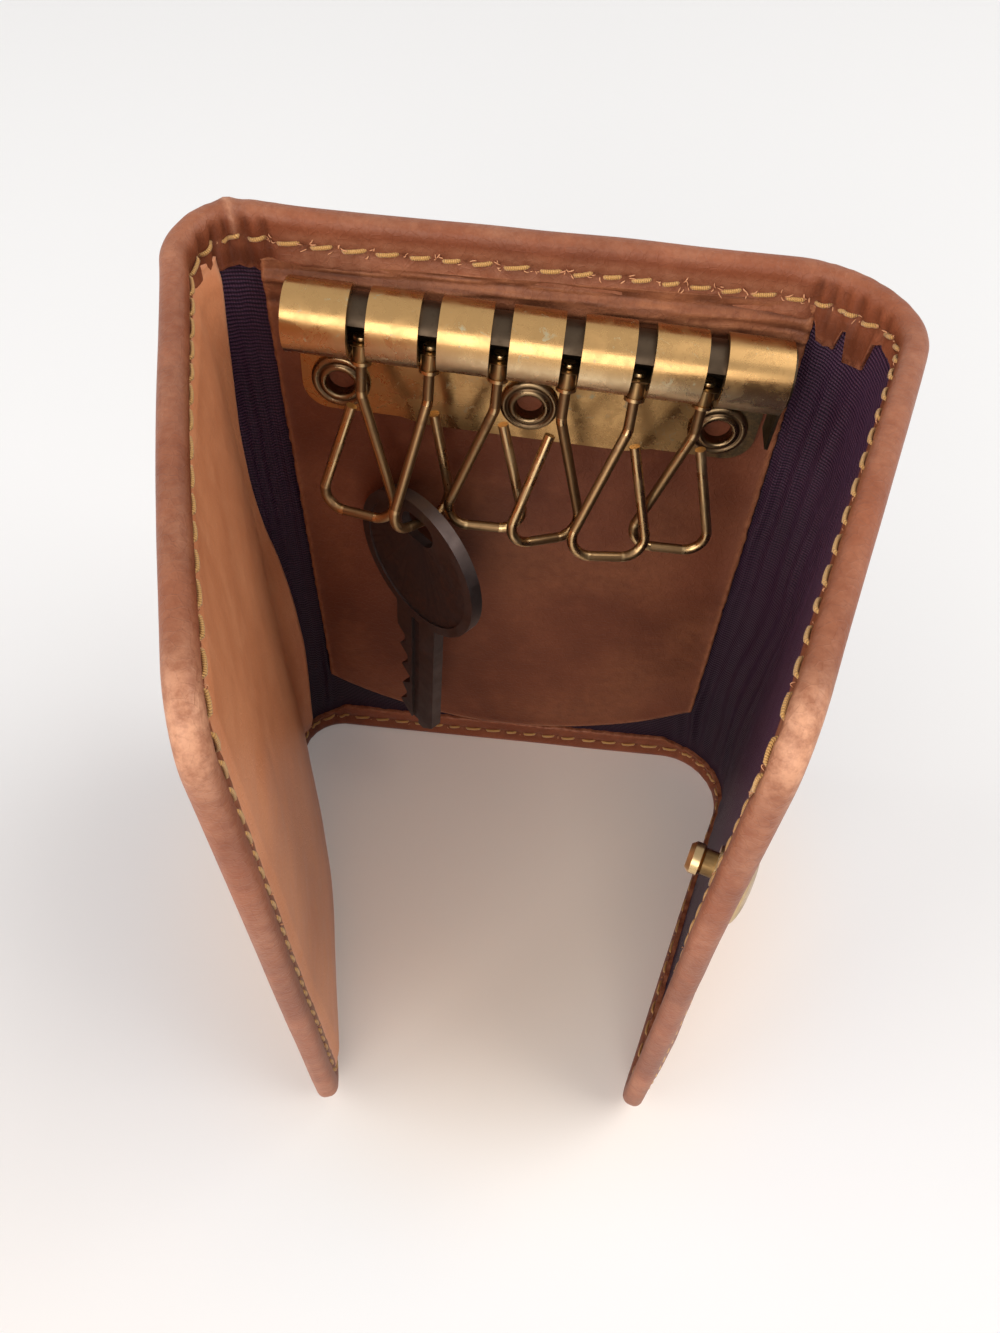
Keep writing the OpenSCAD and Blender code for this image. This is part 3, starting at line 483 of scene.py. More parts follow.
def rim():
    """Columns round the outline, anticlockwise from the lower left: centre of offset, and way out."""
    left, right, low, high = WL + CORNER, WR - CORNER, CORNER, CASE_H - CORNER

    def corner(w, z, start):
        turns = [math.radians(a) for a in np.linspace(start, start + 90, 15)[:-1]]
        return [(w, z, math.cos(a), math.sin(a)) for a in turns]

    return np.array(
        [(w, low, 0, -1) for w in WS[:-1]] + corner(right, low, -90)
        + [(right, z, 1, 0) for z in ZS[:-1]] + corner(right, high, 0)
        + [(w, high, 0, 1) for w in WS[:0:-1]] + corner(left, high, 90)
        + [(left, z, -1, 0) for z in ZS[:0:-1]] + corner(left, low, 180))


RIM = rim()
# Usual distance of the stitches from the edge
INSET = 3.2


def stitch_inset(w, z):
    """Distance of the stitches from the edge: it varies along the top, and is small on the right flap."""
    top = np.interp(w, (-44, -30, 30, 37, 50), (INSET, 3.45, 3.75, 3.4, 1.35))
    return INSET + (top - INSET) * step(z, CASE_H - 12, CASE_H - 7.5)


# On the inner face, side -1, and on the outer face, side 1
STITCH = {-1: stitch_inset(RIM[:, 0], RIM[:, 1]), 1: np.full(len(RIM), INSET)}


def at_rim(e):
    """Points at distance e inside the outline, for each column: w and z."""
    return RIM[:, 0] + RIM[:, 2] * (CORNER - e), RIM[:, 1] + RIM[:, 3] * (CORNER - e)


def stitch_line(side):
    """The closed line of the stitches on one face: w and z."""
    w, z = at_rim(STITCH[side])
    return np.append(w, w[0]), np.append(z, z[0])


# Way along the inner stitches at each column, and once round
RUN = np.concatenate([[0], np.cumsum(np.hypot(*(np.diff(v) for v in stitch_line(-1))))])
T_COL = RUN[:-1]
# Length of a stitch with its gap, and how far it varies
STITCH_PITCH, PITCH_SPREAD = 3.45, 0.45


def stitch_holes():
    rs = np.random.RandomState(11)
    out, t = [], 0.0
    while t < RUN[-1] - 2.5:
        out.append(t)
        t += STITCH_PITCH + rs.uniform(-PITCH_SPREAD, PITCH_SPREAD)
    return np.array(out + [RUN[-1]])


HOLES = stitch_holes()


def from_hole(t):
    """Distance from the nearest stitch hole, in half stitches."""
    ph = np.interp(t, HOLES, np.arange(len(HOLES)))
    return np.abs(ph - np.round(ph)) * 2


# Width of the turned hem along the top edge, by distance from the middle: it is cut into tabs at the folds
HEM_TOP = {
    -1: ((0, 28.5, 30.5, 31.2, 34.8, 35.6, 37.2, 38.0, 39.8, 41.8, 43.4),
         (6.0, 6.0, 6.5, 7.1, 6.7, 6.3, 6.6, 7.3, 7.5, 6.6, 4.3)),
    1: ((0, 29.3, 29.8, 30.6, 31.0, 33.9, 34.3, 35.2, 35.6, 38.6, 39.0, 40.5),
        (6.0, 6.0, 5.3, 5.1, 8.3, 8.5, 5.6, 5.4, 9.2, 9.0, 5.0, 4.3)),
}
# Grooves between the gathers, by distance from the middle, and the one sharp ridge at the left fold
GROOVES = {-1: (30.4, 32.6, 35.2, 37.1, 39.3), 1: (30.1, 31.9, 33.5, 35.9, 38.3, 40.6)}
RIDGE_W = -34.0


def hem_width(w, z):
    """The turned hem is wider on the back than on the spines and flaps, and its raw edge is ragged."""
    a = np.where(w < 0, *(step(w * sgn, s["u0"] - 1.5, s["u0"] + 4) for s, sgn in ((LEFT, -1), (RIGHT, 1))))
    top = np.where(w < 0, np.interp(-w, *HEM_TOP[-1]), np.interp(w, *HEM_TOP[1]))
    wide = np.where(z > CASE_H / 2, top, HEM_W - 1.7 * a)
    return wide + 0.2 * noise(w / 0.9, z / 0.9, 1) + 0.16 * noise(w / 0.35, z / 0.35, 2)


def grooves(w, z):
    """Nearness to a groove between two gathers at a fold, from 0 to 1."""
    top = step(z, CASE_H - 11, CASE_H - 6)
    low = 0.5 * step(-z, -8.0, -3.0)
    out = np.zeros_like(w)
    for sgn in (-1, 1):
        for k, c in enumerate(GROOVES[sgn]):
            wander = 0.25 * noise(z / 3.0, c, 3)
            out = np.maximum(out, bump(w * sgn, c + wander, 0.42) * (1.0 - 0.12 * (k % 3)))
    return out * (top + low)


def pleats(w, z, side):
    """Gathers of the hem round each fold. side is -1 on the inner face and 1 on the outer."""
    top = step(z, CASE_H - 10.5, CASE_H - 3.0)
    low = step(-z, -8.0, -2.0) * 0.5
    zone = sum(step(w * sgn, s["u0"] - 1.5, s["u0"] + 1.5)
               * (1 - step(w * sgn, s["u0"] + 10.5, s["u0"] + 14.0))
               for s, sgn in ((LEFT, -1), (RIGHT, 1)))
    puff = 0.22 * zone * (top + low)
    ridge = 0.5 * bump(w, RIDGE_W, 0.5) * top
    return (puff - 0.62 * grooves(w, z) + ridge) * (1.0 if side < 0 else 0.22)


# The snap's socket on the left flap and its cap on the right flap; the hole is under the socket's ring
SOCKET_W, CAP_W, SNAP_Z = -91.05, 88.2, 60.0
SOCKET_HOLE = 3.0


def soft(w, z):
    """Slow unevenness of the leather, outward. The snap's two halves hold it flat."""
    d = 0.16 * noise(w / 17.0, z / 23.0, 4) + 0.07 * noise(w / 6.0, z / 7.0, 5)
    t = np.clip((-w - LEFT["u1"]) / LEFT["length"], 0, 1)
    bow, pull = np.sin(math.pi * t) ** 1.5, np.sin(math.pi * t ** 0.85)
    d = d + 1.3 * bow * step(z, 35, 90) - 2.0 * pull * (1 - step(z, 0, 62))
    d = d + 0.5 * bump(-w, LEFT["u0"] + LEFT["arc"] * 0.45, 7.0) * step(z, 78, 97)
    d = d + 2.0 * step(w, RIGHT["u1"] + 8, RIGHT["end"]) * (1 - step(z, 0, 78))
    d = d - 0.6 * bump(w, RIGHT["u0"] + RIGHT["arc"] * 0.5, 8.0) * step(z, 76, 97)
    for snap_w in (SOCKET_W, CAP_W):
        d = d * step(np.hypot(w - snap_w, z - SNAP_Z), 4.8, 11.0)
    return d


def soft_at(w, z, e):
    """The same at a distance e from the edge, where the hem is stiffer."""
    return soft(w, z) * (0.35 + 0.65 * step(e, 1, 7))


def stitch_dip(t, off, e):
    """The groove that the stitches lie in: off is the distance from their line, e from the edge."""
    holes = 0.20 * bump(from_hole(t), 0, 0.35) * bump(off, 0, 0.5)
    return -0.13 * bump(off, 0, 0.65) - holes + 0.12 * bump(e, 1.5, 0.9)


def rim_wave(w, z):
    """Unevenness of the top edge, along the height. The back stands a little higher at its left end."""
    tilt = -0.6 * np.clip(w / 30.0, -1, 1) * (1 - step(np.abs(w), 38, 62))
    peak = 0.8 * bump(w, RIDGE_W - 1.5, 5.0) + 0.35 * bump(w, RIDGE_W, 0.8)
    return 0.10 * noise(w / 9.0, 3.3, 6) + 0.18 * noise(w / 21.0, 8.1, 6) + tilt + peak - 0.07 * grooves(w, z)


def waved(w, z):
    """z with the top edge's waves in it, which fade out below the top."""
    return z + rim_wave(w, z) * step(z, CASE_H / 2 + 30, CASE_H / 2 + 45)


# Radius of the rounded edge
EDGE_R = 1.05


def hem_rows():
    """Rows from the hem's raw edge round to the outer face: distance from the edge, b, side, raw or not."""
    n = len(RIM)
    hem = hem_width(*at_rim(HEM_W))
    inner, outer = np.full(n, -T / 2), np.full(n, T / 2)
    rows = []
    for b, share in ((-T / 2 + 0.66, 1.0), (-T / 2 + 0.30, 1.0), (-T / 2 + 0.04, 0.985)):
        rows.append((hem * share, np.full(n, b), -1, True))
    for share in (0.94, 0.86, 0.78):
        rows.append((4.1 + (hem - 4.1) * (share - 0.78) / 0.22, inner, -1, False))
    for e in (3.5, 3.2, 2.9, 2.5, 2.0, 1.6, 1.25):
        rows.append((np.full(n, e), inner, -1, False))
    for a in (-75, -55, -35, -15, 0, 15, 35, 55, 75):
        c, s = math.cos(math.radians(a)), math.sin(math.radians(a))
        b = math.copysign(T / 2 - EDGE_R, a) + EDGE_R * s if a else 0.0
        rows.append((np.full(n, EDGE_R * (1 - c)), np.full(n, b), -1 if a < 0 else 1, False))
    for e in (1.25, 1.6, 2.0, 2.5, 2.9, 3.2, 3.5, 4.0, 4.8, 5.9, CORNER):
        rows.append((np.full(n, e), outer, 1, False))
    return rows, hem


def build_cover():
    verts, ws, zs, bs, wear, puck, tear, shade = [], [], [], [], [], [], [], []
    faces = []
    ncol = len(RIM)
    rows, hem = hem_rows()
    hole = from_hole(T_COL)
    for e, b, side, raw in rows:
        w, z = at_rim(e)
        high = z > 60
        flat = np.clip(np.abs(b) / (T / 2), 0, 1)
        line = e - STITCH[side]
        d = stitch_dip(T_COL, line, e) * flat
        lift = pleats(w, z, side) * flat * step(e, 0.2, 1.6)
        if raw:
            bb = b + soft_at(w, z, e) + side * lift * 0.8
        else:
            bb = b + side * (d + lift) + soft_at(w, z, e)
        zz = waved(w, z)
        verts.append(place(w, zz, bb))
        ws.append(w), zs.append(zz), bs.append(bb)
        puck.append(bump(hole, 0, 0.22) * bump(line, 0, 0.28) * flat)
        tear.append(bump(hole, 0, 0.4) * bump(line, 0, 0.6) * 0.55 * flat
                    + 0.7 * raw + 0.55 * bump(e, hem, 0.3) * (side < 0))
        corner_w = np.maximum(bump(np.hypot(w - WL - 2.5, z - CASE_H + 2.5), 0, 5.0),
                              bump(np.hypot(w - WR + 2.5, z - CASE_H + 2.5), 0, 5.0))
        edge = bump(e, 0, 0.9) * (0.35 + 0.25 * noise(w / 5.0, z / 5.0, 7))
        crest = 0.9 * bump(w, RIDGE_W, 0.28) * high * (e < 3.3)
        # Painted light on the inner face of the hem along the top of the back, carried in the wear attribute
        painted_hem_light = 0.26 * step(e, 1.5, 2.6) * (side < 0) * high * (1 - step(np.abs(w), 27, 31))
        wear.append(np.clip(painted_hem_light + edge * 0.55 + corner_w * 0.8 * bump(e, 0, 2.5) + crest, 0, 1))
        furrow = (0.95 if side < 0 else 0.3) * grooves(w, z) * step(e, 0.5, 1.6)
        fold = np.maximum(bump(w, -33.2, 3.4), bump(w, 35.5, 4.6)) * high * (side < 0)
        furrow = np.maximum(furrow, 0.85 * fold * step(e, 3.4, 5.0))
        shade.append(np.clip(np.maximum(0.47 * bump(line, 0, 0.75) * flat, furrow), 0, 1))
    nrow = len(rows)
    for r in range(nrow - 1):
        for c in range(ncol):
            d = (c + 1) % ncol
            faces.append((r * ncol + c, r * ncol + d, (r + 1) * ncol + d, (r + 1) * ncol + c))
    base = nrow * ncol
    W, Z = np.meshgrid(WS, ZS, indexing="ij")
    W, Z = W.ravel(), Z.ravel()
    verts.append(place(W, waved(W, Z), T / 2 + soft(W, Z)))
    ws.append(W), zs.append(waved(W, Z)), bs.append(np.full(W.shape, T / 2))
    for a in (wear, puck, tear, shade):
        a.append(np.zeros_like(W))
    nz = len(ZS)
    for i in range(len(WS) - 1):
        for j in range(nz - 1):
            across, up = (WS[i] + WS[i + 1]) / 2 - SOCKET_W, (ZS[j] + ZS[j + 1]) / 2 - SNAP_Z
            if math.hypot(across, up) < SOCKET_HOLE:
                continue
            a = base + i * nz + j
            faces.append((a, a + nz, a + nz + 1, a + 1))
    arrays = [np.concatenate(a) for a in (ws, zs, bs, wear, puck, tear, shade)]
    verts, faces, (ws, zs, bs, wear, puck, tear, shade) = merge(np.concatenate(verts), faces, arrays)
    uv = np.stack([ws, zs], -1) * MM
    attrs = {"wear": wear, "pucker": puck, "tear": tear, "shade": shade,
             "flat": np.stack([ws, zs, bs], -1) * MM}
    cut_in_four("cover", verts, faces, ws, M_COVER, uv, attrs,
                {"left_flap": ["left_flap_cover", "left_flap_stiffener"],
                 "left_back": ["back_cover", "left_spine_cover", "back_stiffener"],
                 "right_back": ["right_spine_cover"],
                 "right_flap": ["right_flap_cover", "right_flap_stiffener"]})


build_cover()


# ---------------------------------------------------------------- thread and fibres
def tube_along(points, normal, r, sides):
    """A small closed tube through points, flattened along its normal. Returns verts, faces, uv."""
    pts = np.asarray(points)
    tan = np.gradient(pts, axis=0)
    tan /= np.linalg.norm(tan, axis=1)[:, None]
    nn = normal - (tan * normal).sum(1)[:, None] * tan
    nn /= np.linalg.norm(nn, axis=1)[:, None]
    bi = np.cross(tan, nn)
    v, uv = [], []
    n = len(pts)
    length = np.concatenate([[0], np.cumsum(np.linalg.norm(np.diff(pts, axis=0), axis=1))])
    for i in range(n):
        rr = r if 0 < i < n - 1 else r * 0.55
        for k in range(sides):
            a = 2 * math.pi * k / sides
            v.append(pts[i] + rr * (math.cos(a) * bi[i] + math.sin(a) * nn[i] * 0.8))
            uv.append((length[i] / MM, k / sides))
    f = []
    for i in range(n - 1):
        for k in range(sides):
            l = (k + 1) % sides
            f.append((i * sides + k, i * sides + l, (i + 1) * sides + l, (i + 1) * sides + k))
    f.append(tuple(range(sides))[::-1])
    f.append(tuple((n - 1) * sides + k for k in range(sides)))
    return v, f, uv


class Tubes:
    """Many small tubes that lie on the leather, as one sheet to be cut in four."""

    def __init__(self):
        self.verts, self.faces, self.uvs, self.w = [], [], [], []

    def add(self, w, z, b, side, r, sides=6):
        _, _, nx, ny = path(w)
        normal = np.stack([nx * side, ny * side, np.zeros(len(w))], -1)
        v, f, uv = tube_along(place(w, waved(w, z), b), normal, r * MM, sides)
        k = len(self.verts)
        self.verts += v
        self.uvs += uv
        self.w += [w.mean()] * len(v)
        self.faces += [tuple(i + k for i in g) for g in f]

    def finish(self, label, material):
        cut_in_four(label, np.array(self.verts), self.faces, np.array(self.w), material,
                    np.array(self.uvs), {})


THREAD_R = 0.27
# Height of a stitch over the leather, along it
ARCH = np.array([-0.34, 0.06, 0.11, 0.13, 0.11, 0.06, -0.34])


def build_stitches():
    tubes = Tubes()
    rs = np.random.RandomState(5)
    n = len(ARCH)
    for side in (-1, 1):
        line_w, line_z = stitch_line(side)
        for a, b in zip(HOLES, HOLES[1:]):
            gap = 0.42 + rs.uniform(-0.1, 0.15)
            t = np.linspace(a + gap, b - gap, n)
            tilt = -(0.20 + rs.uniform(-0.09, 0.09)) * side
            off = np.linspace(-tilt, tilt, n)
            w, z = np.interp(t, RUN, line_w), np.interp(t, RUN, line_z)
            dw, dz = np.gradient(w), np.gradient(z)
            l = np.hypot(dw, dz)
            w, z = w - dz / l * off, z + dw / l * off
            # On the inner face, at the tops of the side walls and flaps, they stand a little higher
            flap = step(w, 40, 50) + step(-w, 36, 42)
            proud = 0.20 * (side < 0) * step(z, CASE_H - 12, CASE_H - 6) * flap
            base = T / 2 + proud + pleats(w, z, side) + stitch_dip(np.full(n, (a + b) / 2), 0.0, INSET)
            tubes.add(w, z, side * (base + ARCH) + soft_at(w, z, INSET), side, THREAD_R)
    tubes.finish("stitching", M_THREAD)


build_stitches()


def build_fray():
    """Torn fibres of leather at the stitch holes, mostly along the top of the back."""
    rs = np.random.RandomState(23)
    line_w, line_z = stitch_line(-1)
    tubes = Tubes()
    n = 5
    for t in HOLES[:-1]:
        w0, z0 = np.interp(t, RUN, line_w), np.interp(t, RUN, line_z)
        top = z0 > CASE_H - 8 and -31 < w0 < 43
        for _ in range(rs.randint(2, 6) if top else rs.randint(0, 2)):
            a = rs.uniform(0, 2 * math.pi)
            length = rs.uniform(0.35, 1.1) if top else rs.uniform(0.3, 0.7)
            k = np.linspace(0, 1, n)
            turn = a + rs.uniform(-1.2, 1.2) * k
            w = w0 + rs.uniform(-0.35, 0.35) + np.cumsum(np.cos(turn)) * length / n
            z = z0 + rs.uniform(-0.3, 0.3) + np.cumsum(np.sin(turn)) * length / n
            up = 0.02 + rs.uniform(0.05, 0.35) * np.sin(math.pi * k * rs.uniform(0.6, 1.0))
            b = -(T / 2 + pleats(w, z, -1) - 0.08 + up) + soft_at(w, z, INSET)
            tubes.add(w, z, b, -1, rs.uniform(0.05, 0.10), 4)
    tubes.finish("fray", M_FRAY)


build_fray()


# ---------------------------------------------------------------- satin lining
def folds(w, z):
    """How far the satin stands in from its flat place."""
    out = 0.05 + 0.10 * (0.5 + 0.5 * noise(w / 3.0, z / 9.0, 0))
    for s, sgn, amp, pitch in ((LEFT, -1, 0.75, 1.9), (RIGHT, 1, 0.85, 3.1)):
        u = w * sgn
        zone = step(u, s["u0"] - 0.5, s["u0"] + 3.0) * (1 - step(u, s["u1"] - 1.0, s["u1"] + 12.0))
        drift = 0.55 * noise(z / 24.0, u / 14.0, 1) + 0.2 * noise(z / 8.0, u / 6.0, 2)
        r = 0.5 + 0.5 * np.sin(2 * math.pi * ((u - s["u0"]) / pitch + drift))
        height = 0.55 + 0.45 * noise(z / 15.0, u / 4.0, 3)
        calm = 0.35 + 0.65 * (1 - step(z, 58, 84)) if sgn < 0 else 0.55 + 0.45 * (1 - step(z, 66, 90))
        out = out + amp * zone * r ** 1.6 * height * calm
    return out


SATIN_INSET, SATIN_H = 3.6, 89.8
STUD_W = RIGHT["end"] - 10.2


def build_satin():
    ws = stations([WL + SATIN_INSET, -LEFT["split"], 0.0, RIGHT["split"], WR - SATIN_INSET], 0.42)
    zs = np.linspace(SATIN_INSET, CASE_H - SATIN_INSET, 150)
    W, Z = np.meshgrid(ws, zs, indexing="ij")
    W, Z = W.ravel(), Z.ravel()
    e = np.minimum(np.minimum(Z, CASE_H - Z), np.minimum(W - WL, WR - W))
    free = step(e, 4.2, 9.0)
    # The stud draws the satin into small rays
    dw, dz = W - STUD_W, Z - SNAP_Z
    pull = bump(np.hypot(dw, dz), 0, 3.0)
    d = (folds(W, Z) * (1 - pull) + 0.12 * pull * np.sin(6 * np.arctan2(dz, dw))) * free
    b = -T / 2 + HEM_T - 0.02 - d + soft_at(W, Z, e)
    verts = place(W, Z, b)
    nz = len(zs)
    faces = [(i * nz + j, i * nz + j + 1, (i + 1) * nz + j + 1, (i + 1) * nz + j)
             for i in range(len(ws) - 1) for j in range(nz - 1)]
    uv = np.stack([W * MM, Z * MM], -1)
    made = cut_in_four("satin", verts, faces, W, M_SATIN, uv, {},
                       {"left_flap": ["left_flap_lining"], "left_back": ["back_lining", "left_spine_lining"],
                        "right_back": ["right_spine_lining"], "right_flap": ["right_flap_lining"]})


build_satin()


# ---------------------------------------------------------------- sheet of leather with a raw edge
EDGE_SWELL = 0.05


def closed_sheet(name, W, Z, face_b, back_b, material, attrs):
    """Grids of w and z, and of the offsets of the shown face and the face behind, closed all round."""
    nz, nw = W.shape
    front = place(W.ravel(), Z.ravel(), face_b.ravel())
    back = place(W.ravel(), Z.ravel(), back_b.ravel())
    ring = [(0, j) for j in range(nw)] + [(i, nw - 1) for i in range(1, nz)] \
        + [(nz - 1, j) for j in range(nw - 2, -1, -1)] + [(i, 0) for i in range(nz - 2, 0, -1)]
    idx = np.array([i * nw + j for i, j in ring])
    faces = []
    for i in range(nz - 1):
        for j in range(nw - 1):
            a = i * nw + j
            faces.append((a, a + nw, a + nw + 1, a + 1))
            c = a + nz * nw
            faces.append((c, c + 1, c + nw + 1, c + nw))
    m = len(idx)
    mid_b = 0.5 * (face_b + back_b)
    # The edge swells a little between its two faces
    dw, dz = W.ravel()[idx] - W.mean(), Z.ravel()[idx] - Z.mean()
    l = np.hypot(dw, dz)
    mw, mz = W.ravel()[idx] + dw / l * EDGE_SWELL, Z.ravel()[idx] + dz / l * EDGE_SWELL
    mid = place(mw, mz, mid_b.ravel()[idx])
    base = 2 * nz * nw
    for k in range(m):
        l2 = (k + 1) % m
        faces.append((idx[k], idx[l2], base + l2, base + k))
        faces.append((base + k, base + l2, idx[l2] + nz * nw, idx[k] + nz * nw))
    verts = np.concatenate([front, back, mid])
    ww = np.concatenate([W.ravel(), W.ravel(), mw])
    zz = np.concatenate([Z.ravel(), Z.ravel(), mz])
    uv = np.stack([ww, zz], -1) * MM
    at = {}
    for k, v in attrs.items():
        v = v.ravel()
        at[k] = np.concatenate([v, v, np.maximum(v[idx], 0.8) if k == "wear" else v[idx]])
    for k in ("wear", "pucker", "tear", "shade"):
        at.setdefault(k, np.zeros(len(verts)))
    bb = np.concatenate([face_b.ravel(), back_b.ravel(), mid_b.ravel()[idx]])
    at["flat"] = np.stack([ww, zz, bb], -1) * MM
    ob = make(name, verts, faces, material, uv, at)
    return ob


# Patch behind the hooks: its left and right edges lie at the ends of the flat back
P_L, P_R = -31.6, 30.4
# Radius of its lower edge, its lowest point and its top, which lies under the hem
PATCH_R, PATCH_LOW, PATCH_TOP = 55.0, 6.7, 92.2
# Creases across its top: height, half width, depth and a number for their wander
CREASES = ((88.9, 0.75, 0.42, 1), (86.9, 0.8, 0.26, 2), (90.3, 0.45, 0.2, 3))


def build_patch():
    nw, nz = 150, 190
    q, v = np.linspace(0, 1, nw), 1 - (1 - np.linspace(0, 1, nz)) ** 1.6
    W = P_L + (P_R - P_L) * np.repeat(q[None, :], nz, 0)
    curve = PATCH_LOW + PATCH_R - np.sqrt(PATCH_R ** 2 - (W[0] + 0.3) ** 2)
    Z = curve[None, :] + (PATCH_TOP - curve)[None, :] * v[:, None]
    ragged = 0.13 * noise(Z / 0.8, 1.5, 1) + 0.1 * noise(Z / 0.3, 2.5, 2)
    W = W + ragged * (q[None, :] < 0.001) + 0.16 * noise(Z / 0.7, 4.5, 1) * (q[None, :] > 0.999)
    edge = np.minimum(np.minimum(W - P_L, P_R - W), Z - curve[None, :])
    ridge = 0.0
    for c, h, a, k in CREASES:
        line = c + 0.7 * noise(W / 11.0, k * 3.1, 4) - 0.012 * (W + 0.3)
        ridge = ridge + a * bump(Z, line, h) * (0.75 + 0.25 * noise(W / 3.0, k, 5))
    wander = 0.3 * noise(W / 5.0, Z / 2.0, 1)
    lines = noise(W / 4.5 + wander, Z / 0.36 + 0.04 * W, 6) * step(Z, 84.5, 88)
    hollow = 0.25 * bump(np.hypot(W + 15, Z - 38), 0, 26) + 0.18 * bump(np.hypot(W - 14, Z - 62), 0, 14)
    lip = 0.30 * bump(edge, 0, 1.5) * (0.6 + 0.4 * noise(W / 6.0, Z / 6.0, 3))
    tuck = -0.45 * step(Z, 90.2, 91.2)
    face = -T / 2 - 0.5 - (ridge + 0.11 * lines + 0.12 * noise(W / 8.0, Z / 8.0, 2) + lip * 0.5 + tuck)
    face = face + 0.18 * bump(edge, 0, 0.28)
    face = face + 0.10 * hollow
    back = np.full_like(W, -T / 2 + 0.62)
    wear = (0.9 * bump(edge, 0, 0.55) + 0.22 * step(noise(W / 9.0, Z / 12.0, 0), 0.1, 0.9)
            + 0.35 * np.clip(lines, 0, 1) + 0.4 * step(Z, 83, 88))
    ob = closed_sheet("patch", W, Z, face, back, M_PATCH,
                      {"wear": np.clip(wear, 0, 1), "tear": 0.8 * bump(edge, 0, 0.3),
                       "shade": np.clip(-1.0 * lines, 0, 1)})
    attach(ob, "back")
    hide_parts("key_patch")


build_patch()


POCKET_INSET = 3.7
# The opening's curve in plan, in the fold: heights, and depths along y in shares of OPEN_Y
OPEN_Z = (0, 5.4, 16, 26.8, 38, 48, 56, 64, 72, 81, 90, 97)
OPEN_SHARE = (0.5, 0.53, 0.43, 0.34, 0.4, 0.55, 0.82, 1.0, 0.96, 0.72, 0.46, 0.4)
OPEN_Y = -5.7


def opening_w(z):
    """w of the pocket's opening at each height, from its curve, smoothed."""
    zz = np.linspace(0, CASE_H, 400)
    k = np.exp(-np.linspace(-2, 2, 41) ** 2)
    yy = np.pad(np.interp(zz, OPEN_Z, OPEN_Y * np.array(OPEN_SHARE)), len(k) // 2, "edge")
    yo = np.interp(z, zz, np.convolve(yy, k / k.sum(), "valid"))
    th = np.arccos(np.clip(1 + yo / (LEFT["r"] - T), -1, 1))
    return -(LEFT["u0"] + LEFT["mid"] * th)


def build_pocket():
    """Pocket leather on the left flap; its opening is a long curve that lies in the fold."""
    nz, nw = 190, 150
    z0, z1 = POCKET_INSET, CASE_H - POCKET_INSET
    z = np.linspace(z0, z1, nz)
    wopen = opening_w(z)
    q = np.linspace(0, 1, nw)
    far = WL + POCKET_INSET
    W = wopen[:, None] + (far - wopen)[:, None] * q[None, :]
    Z = np.repeat(z[:, None], nw, 1)
    # Free corners of the flap
    r = CORNER - POCKET_INSET
    for zc, sg in ((z0 + r, -1), (z1 - r, 1)):
        m = (Z - zc) * sg > 0
        lim = far + r - np.sqrt(np.clip(r * r - (Z - zc) ** 2, 0, None))
        W = np.where(m, wopen[:, None] + (lim - wopen[:, None]) * q[None, :], W)
    opening = wopen[:, None] - W
    e = np.minimum(np.minimum(Z, CASE_H - Z), W - WL)
    rise = step(e, 3.9, 6.5)
    lift = 0.35 * bump(opening, 0, 3.0)
    face = -T / 2 + 0.16 - 0.62 * rise - 0.25 * step(e, 6, 18) - lift * 0.6 + 0.28 * bump(opening, 0, 0.3)
    face = face - 0.12 * noise(W / 12.0, Z / 16.0, 1) * rise + soft_at(W, Z, e)
    face = face - 0.05 * bump(opening, 2.2, 0.35)
    back = np.minimum(face + 0.8, -T / 2 + HEM_T - 0.1 + soft(W, Z))
    wear = np.clip(0.5 * bump(opening, 0, 0.5) + 0.25 * bump(e, 4.4, 0.4), 0, 1)
    ob = closed_sheet("pocket", W, Z, face, back, M_POCKET, {"wear": wear})
    bend(ob)
    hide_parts("left_spine_pocket", "pocket_panel")


build_pocket()


# ---------------------------------------------------------------- eyelets with a rolled rim
# Half profile: radius, and depth behind the front of the rim
EYELET = ((0.0, 2.0), (0.9, 2.0), (1.45, 1.9), (1.62, 1.6), (1.66, 0.9), (1.70, 0.3), (1.80, 0.08),
          (2.0, -0.02), (2.25, 0.0), (2.42, 0.12), (2.55, 0.30), (2.68, 0.33), (2.80, 0.26), (2.98, 0.16),
          (3.20, 0.17), (3.40, 0.28), (3.54, 0.48), (3.60, 0.72), (3.58, 0.9))


def build_eyelet(name):
    lo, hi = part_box(name)
    cx, cz, y0 = (lo[0] + hi[0]) / 2, (lo[2] + hi[2]) / 2, lo[1]
    n = 56
    verts, faces = [(cx, y0 + EYELET[0][1] * MM, cz)], []
    for r, depth in EYELET[1:]:
        for k in range(n):
            a = 2 * math.pi * k / n
            verts.append((cx + r * MM * math.cos(a), y0 + depth * MM, cz + r * MM * math.sin(a)))
    for k in range(n):
        faces.append((0, 1 + k, 1 + (k + 1) % n))
    for i in range(len(EYELET) - 2):
        for k in range(n):
            a, b = 1 + i * n + k, 1 + i * n + (k + 1) % n
            faces.append((a, a + n, b + n, b))
    ob = make("rolled_" + name, verts, faces, M_EYELET)
    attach(ob, "back")
    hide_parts(name)


for e in ("eyelet_left", "eyelet_centre", "eyelet_right"):
    build_eyelet(e)


# ---------------------------------------------------------------- floor, light and camera
FLOOR, FLOOR_CELLS = 3.0, 24
# Warm light that the leather throws on the floor: between the flaps, and a weaker one at the left
WARM_AT, WARM_FROM_TO = (0.0, 0.008, 0.0), (0.018, 0.064)
CAST_AT, CAST_TO = (-0.13, -0.16, 0.0), 0.19


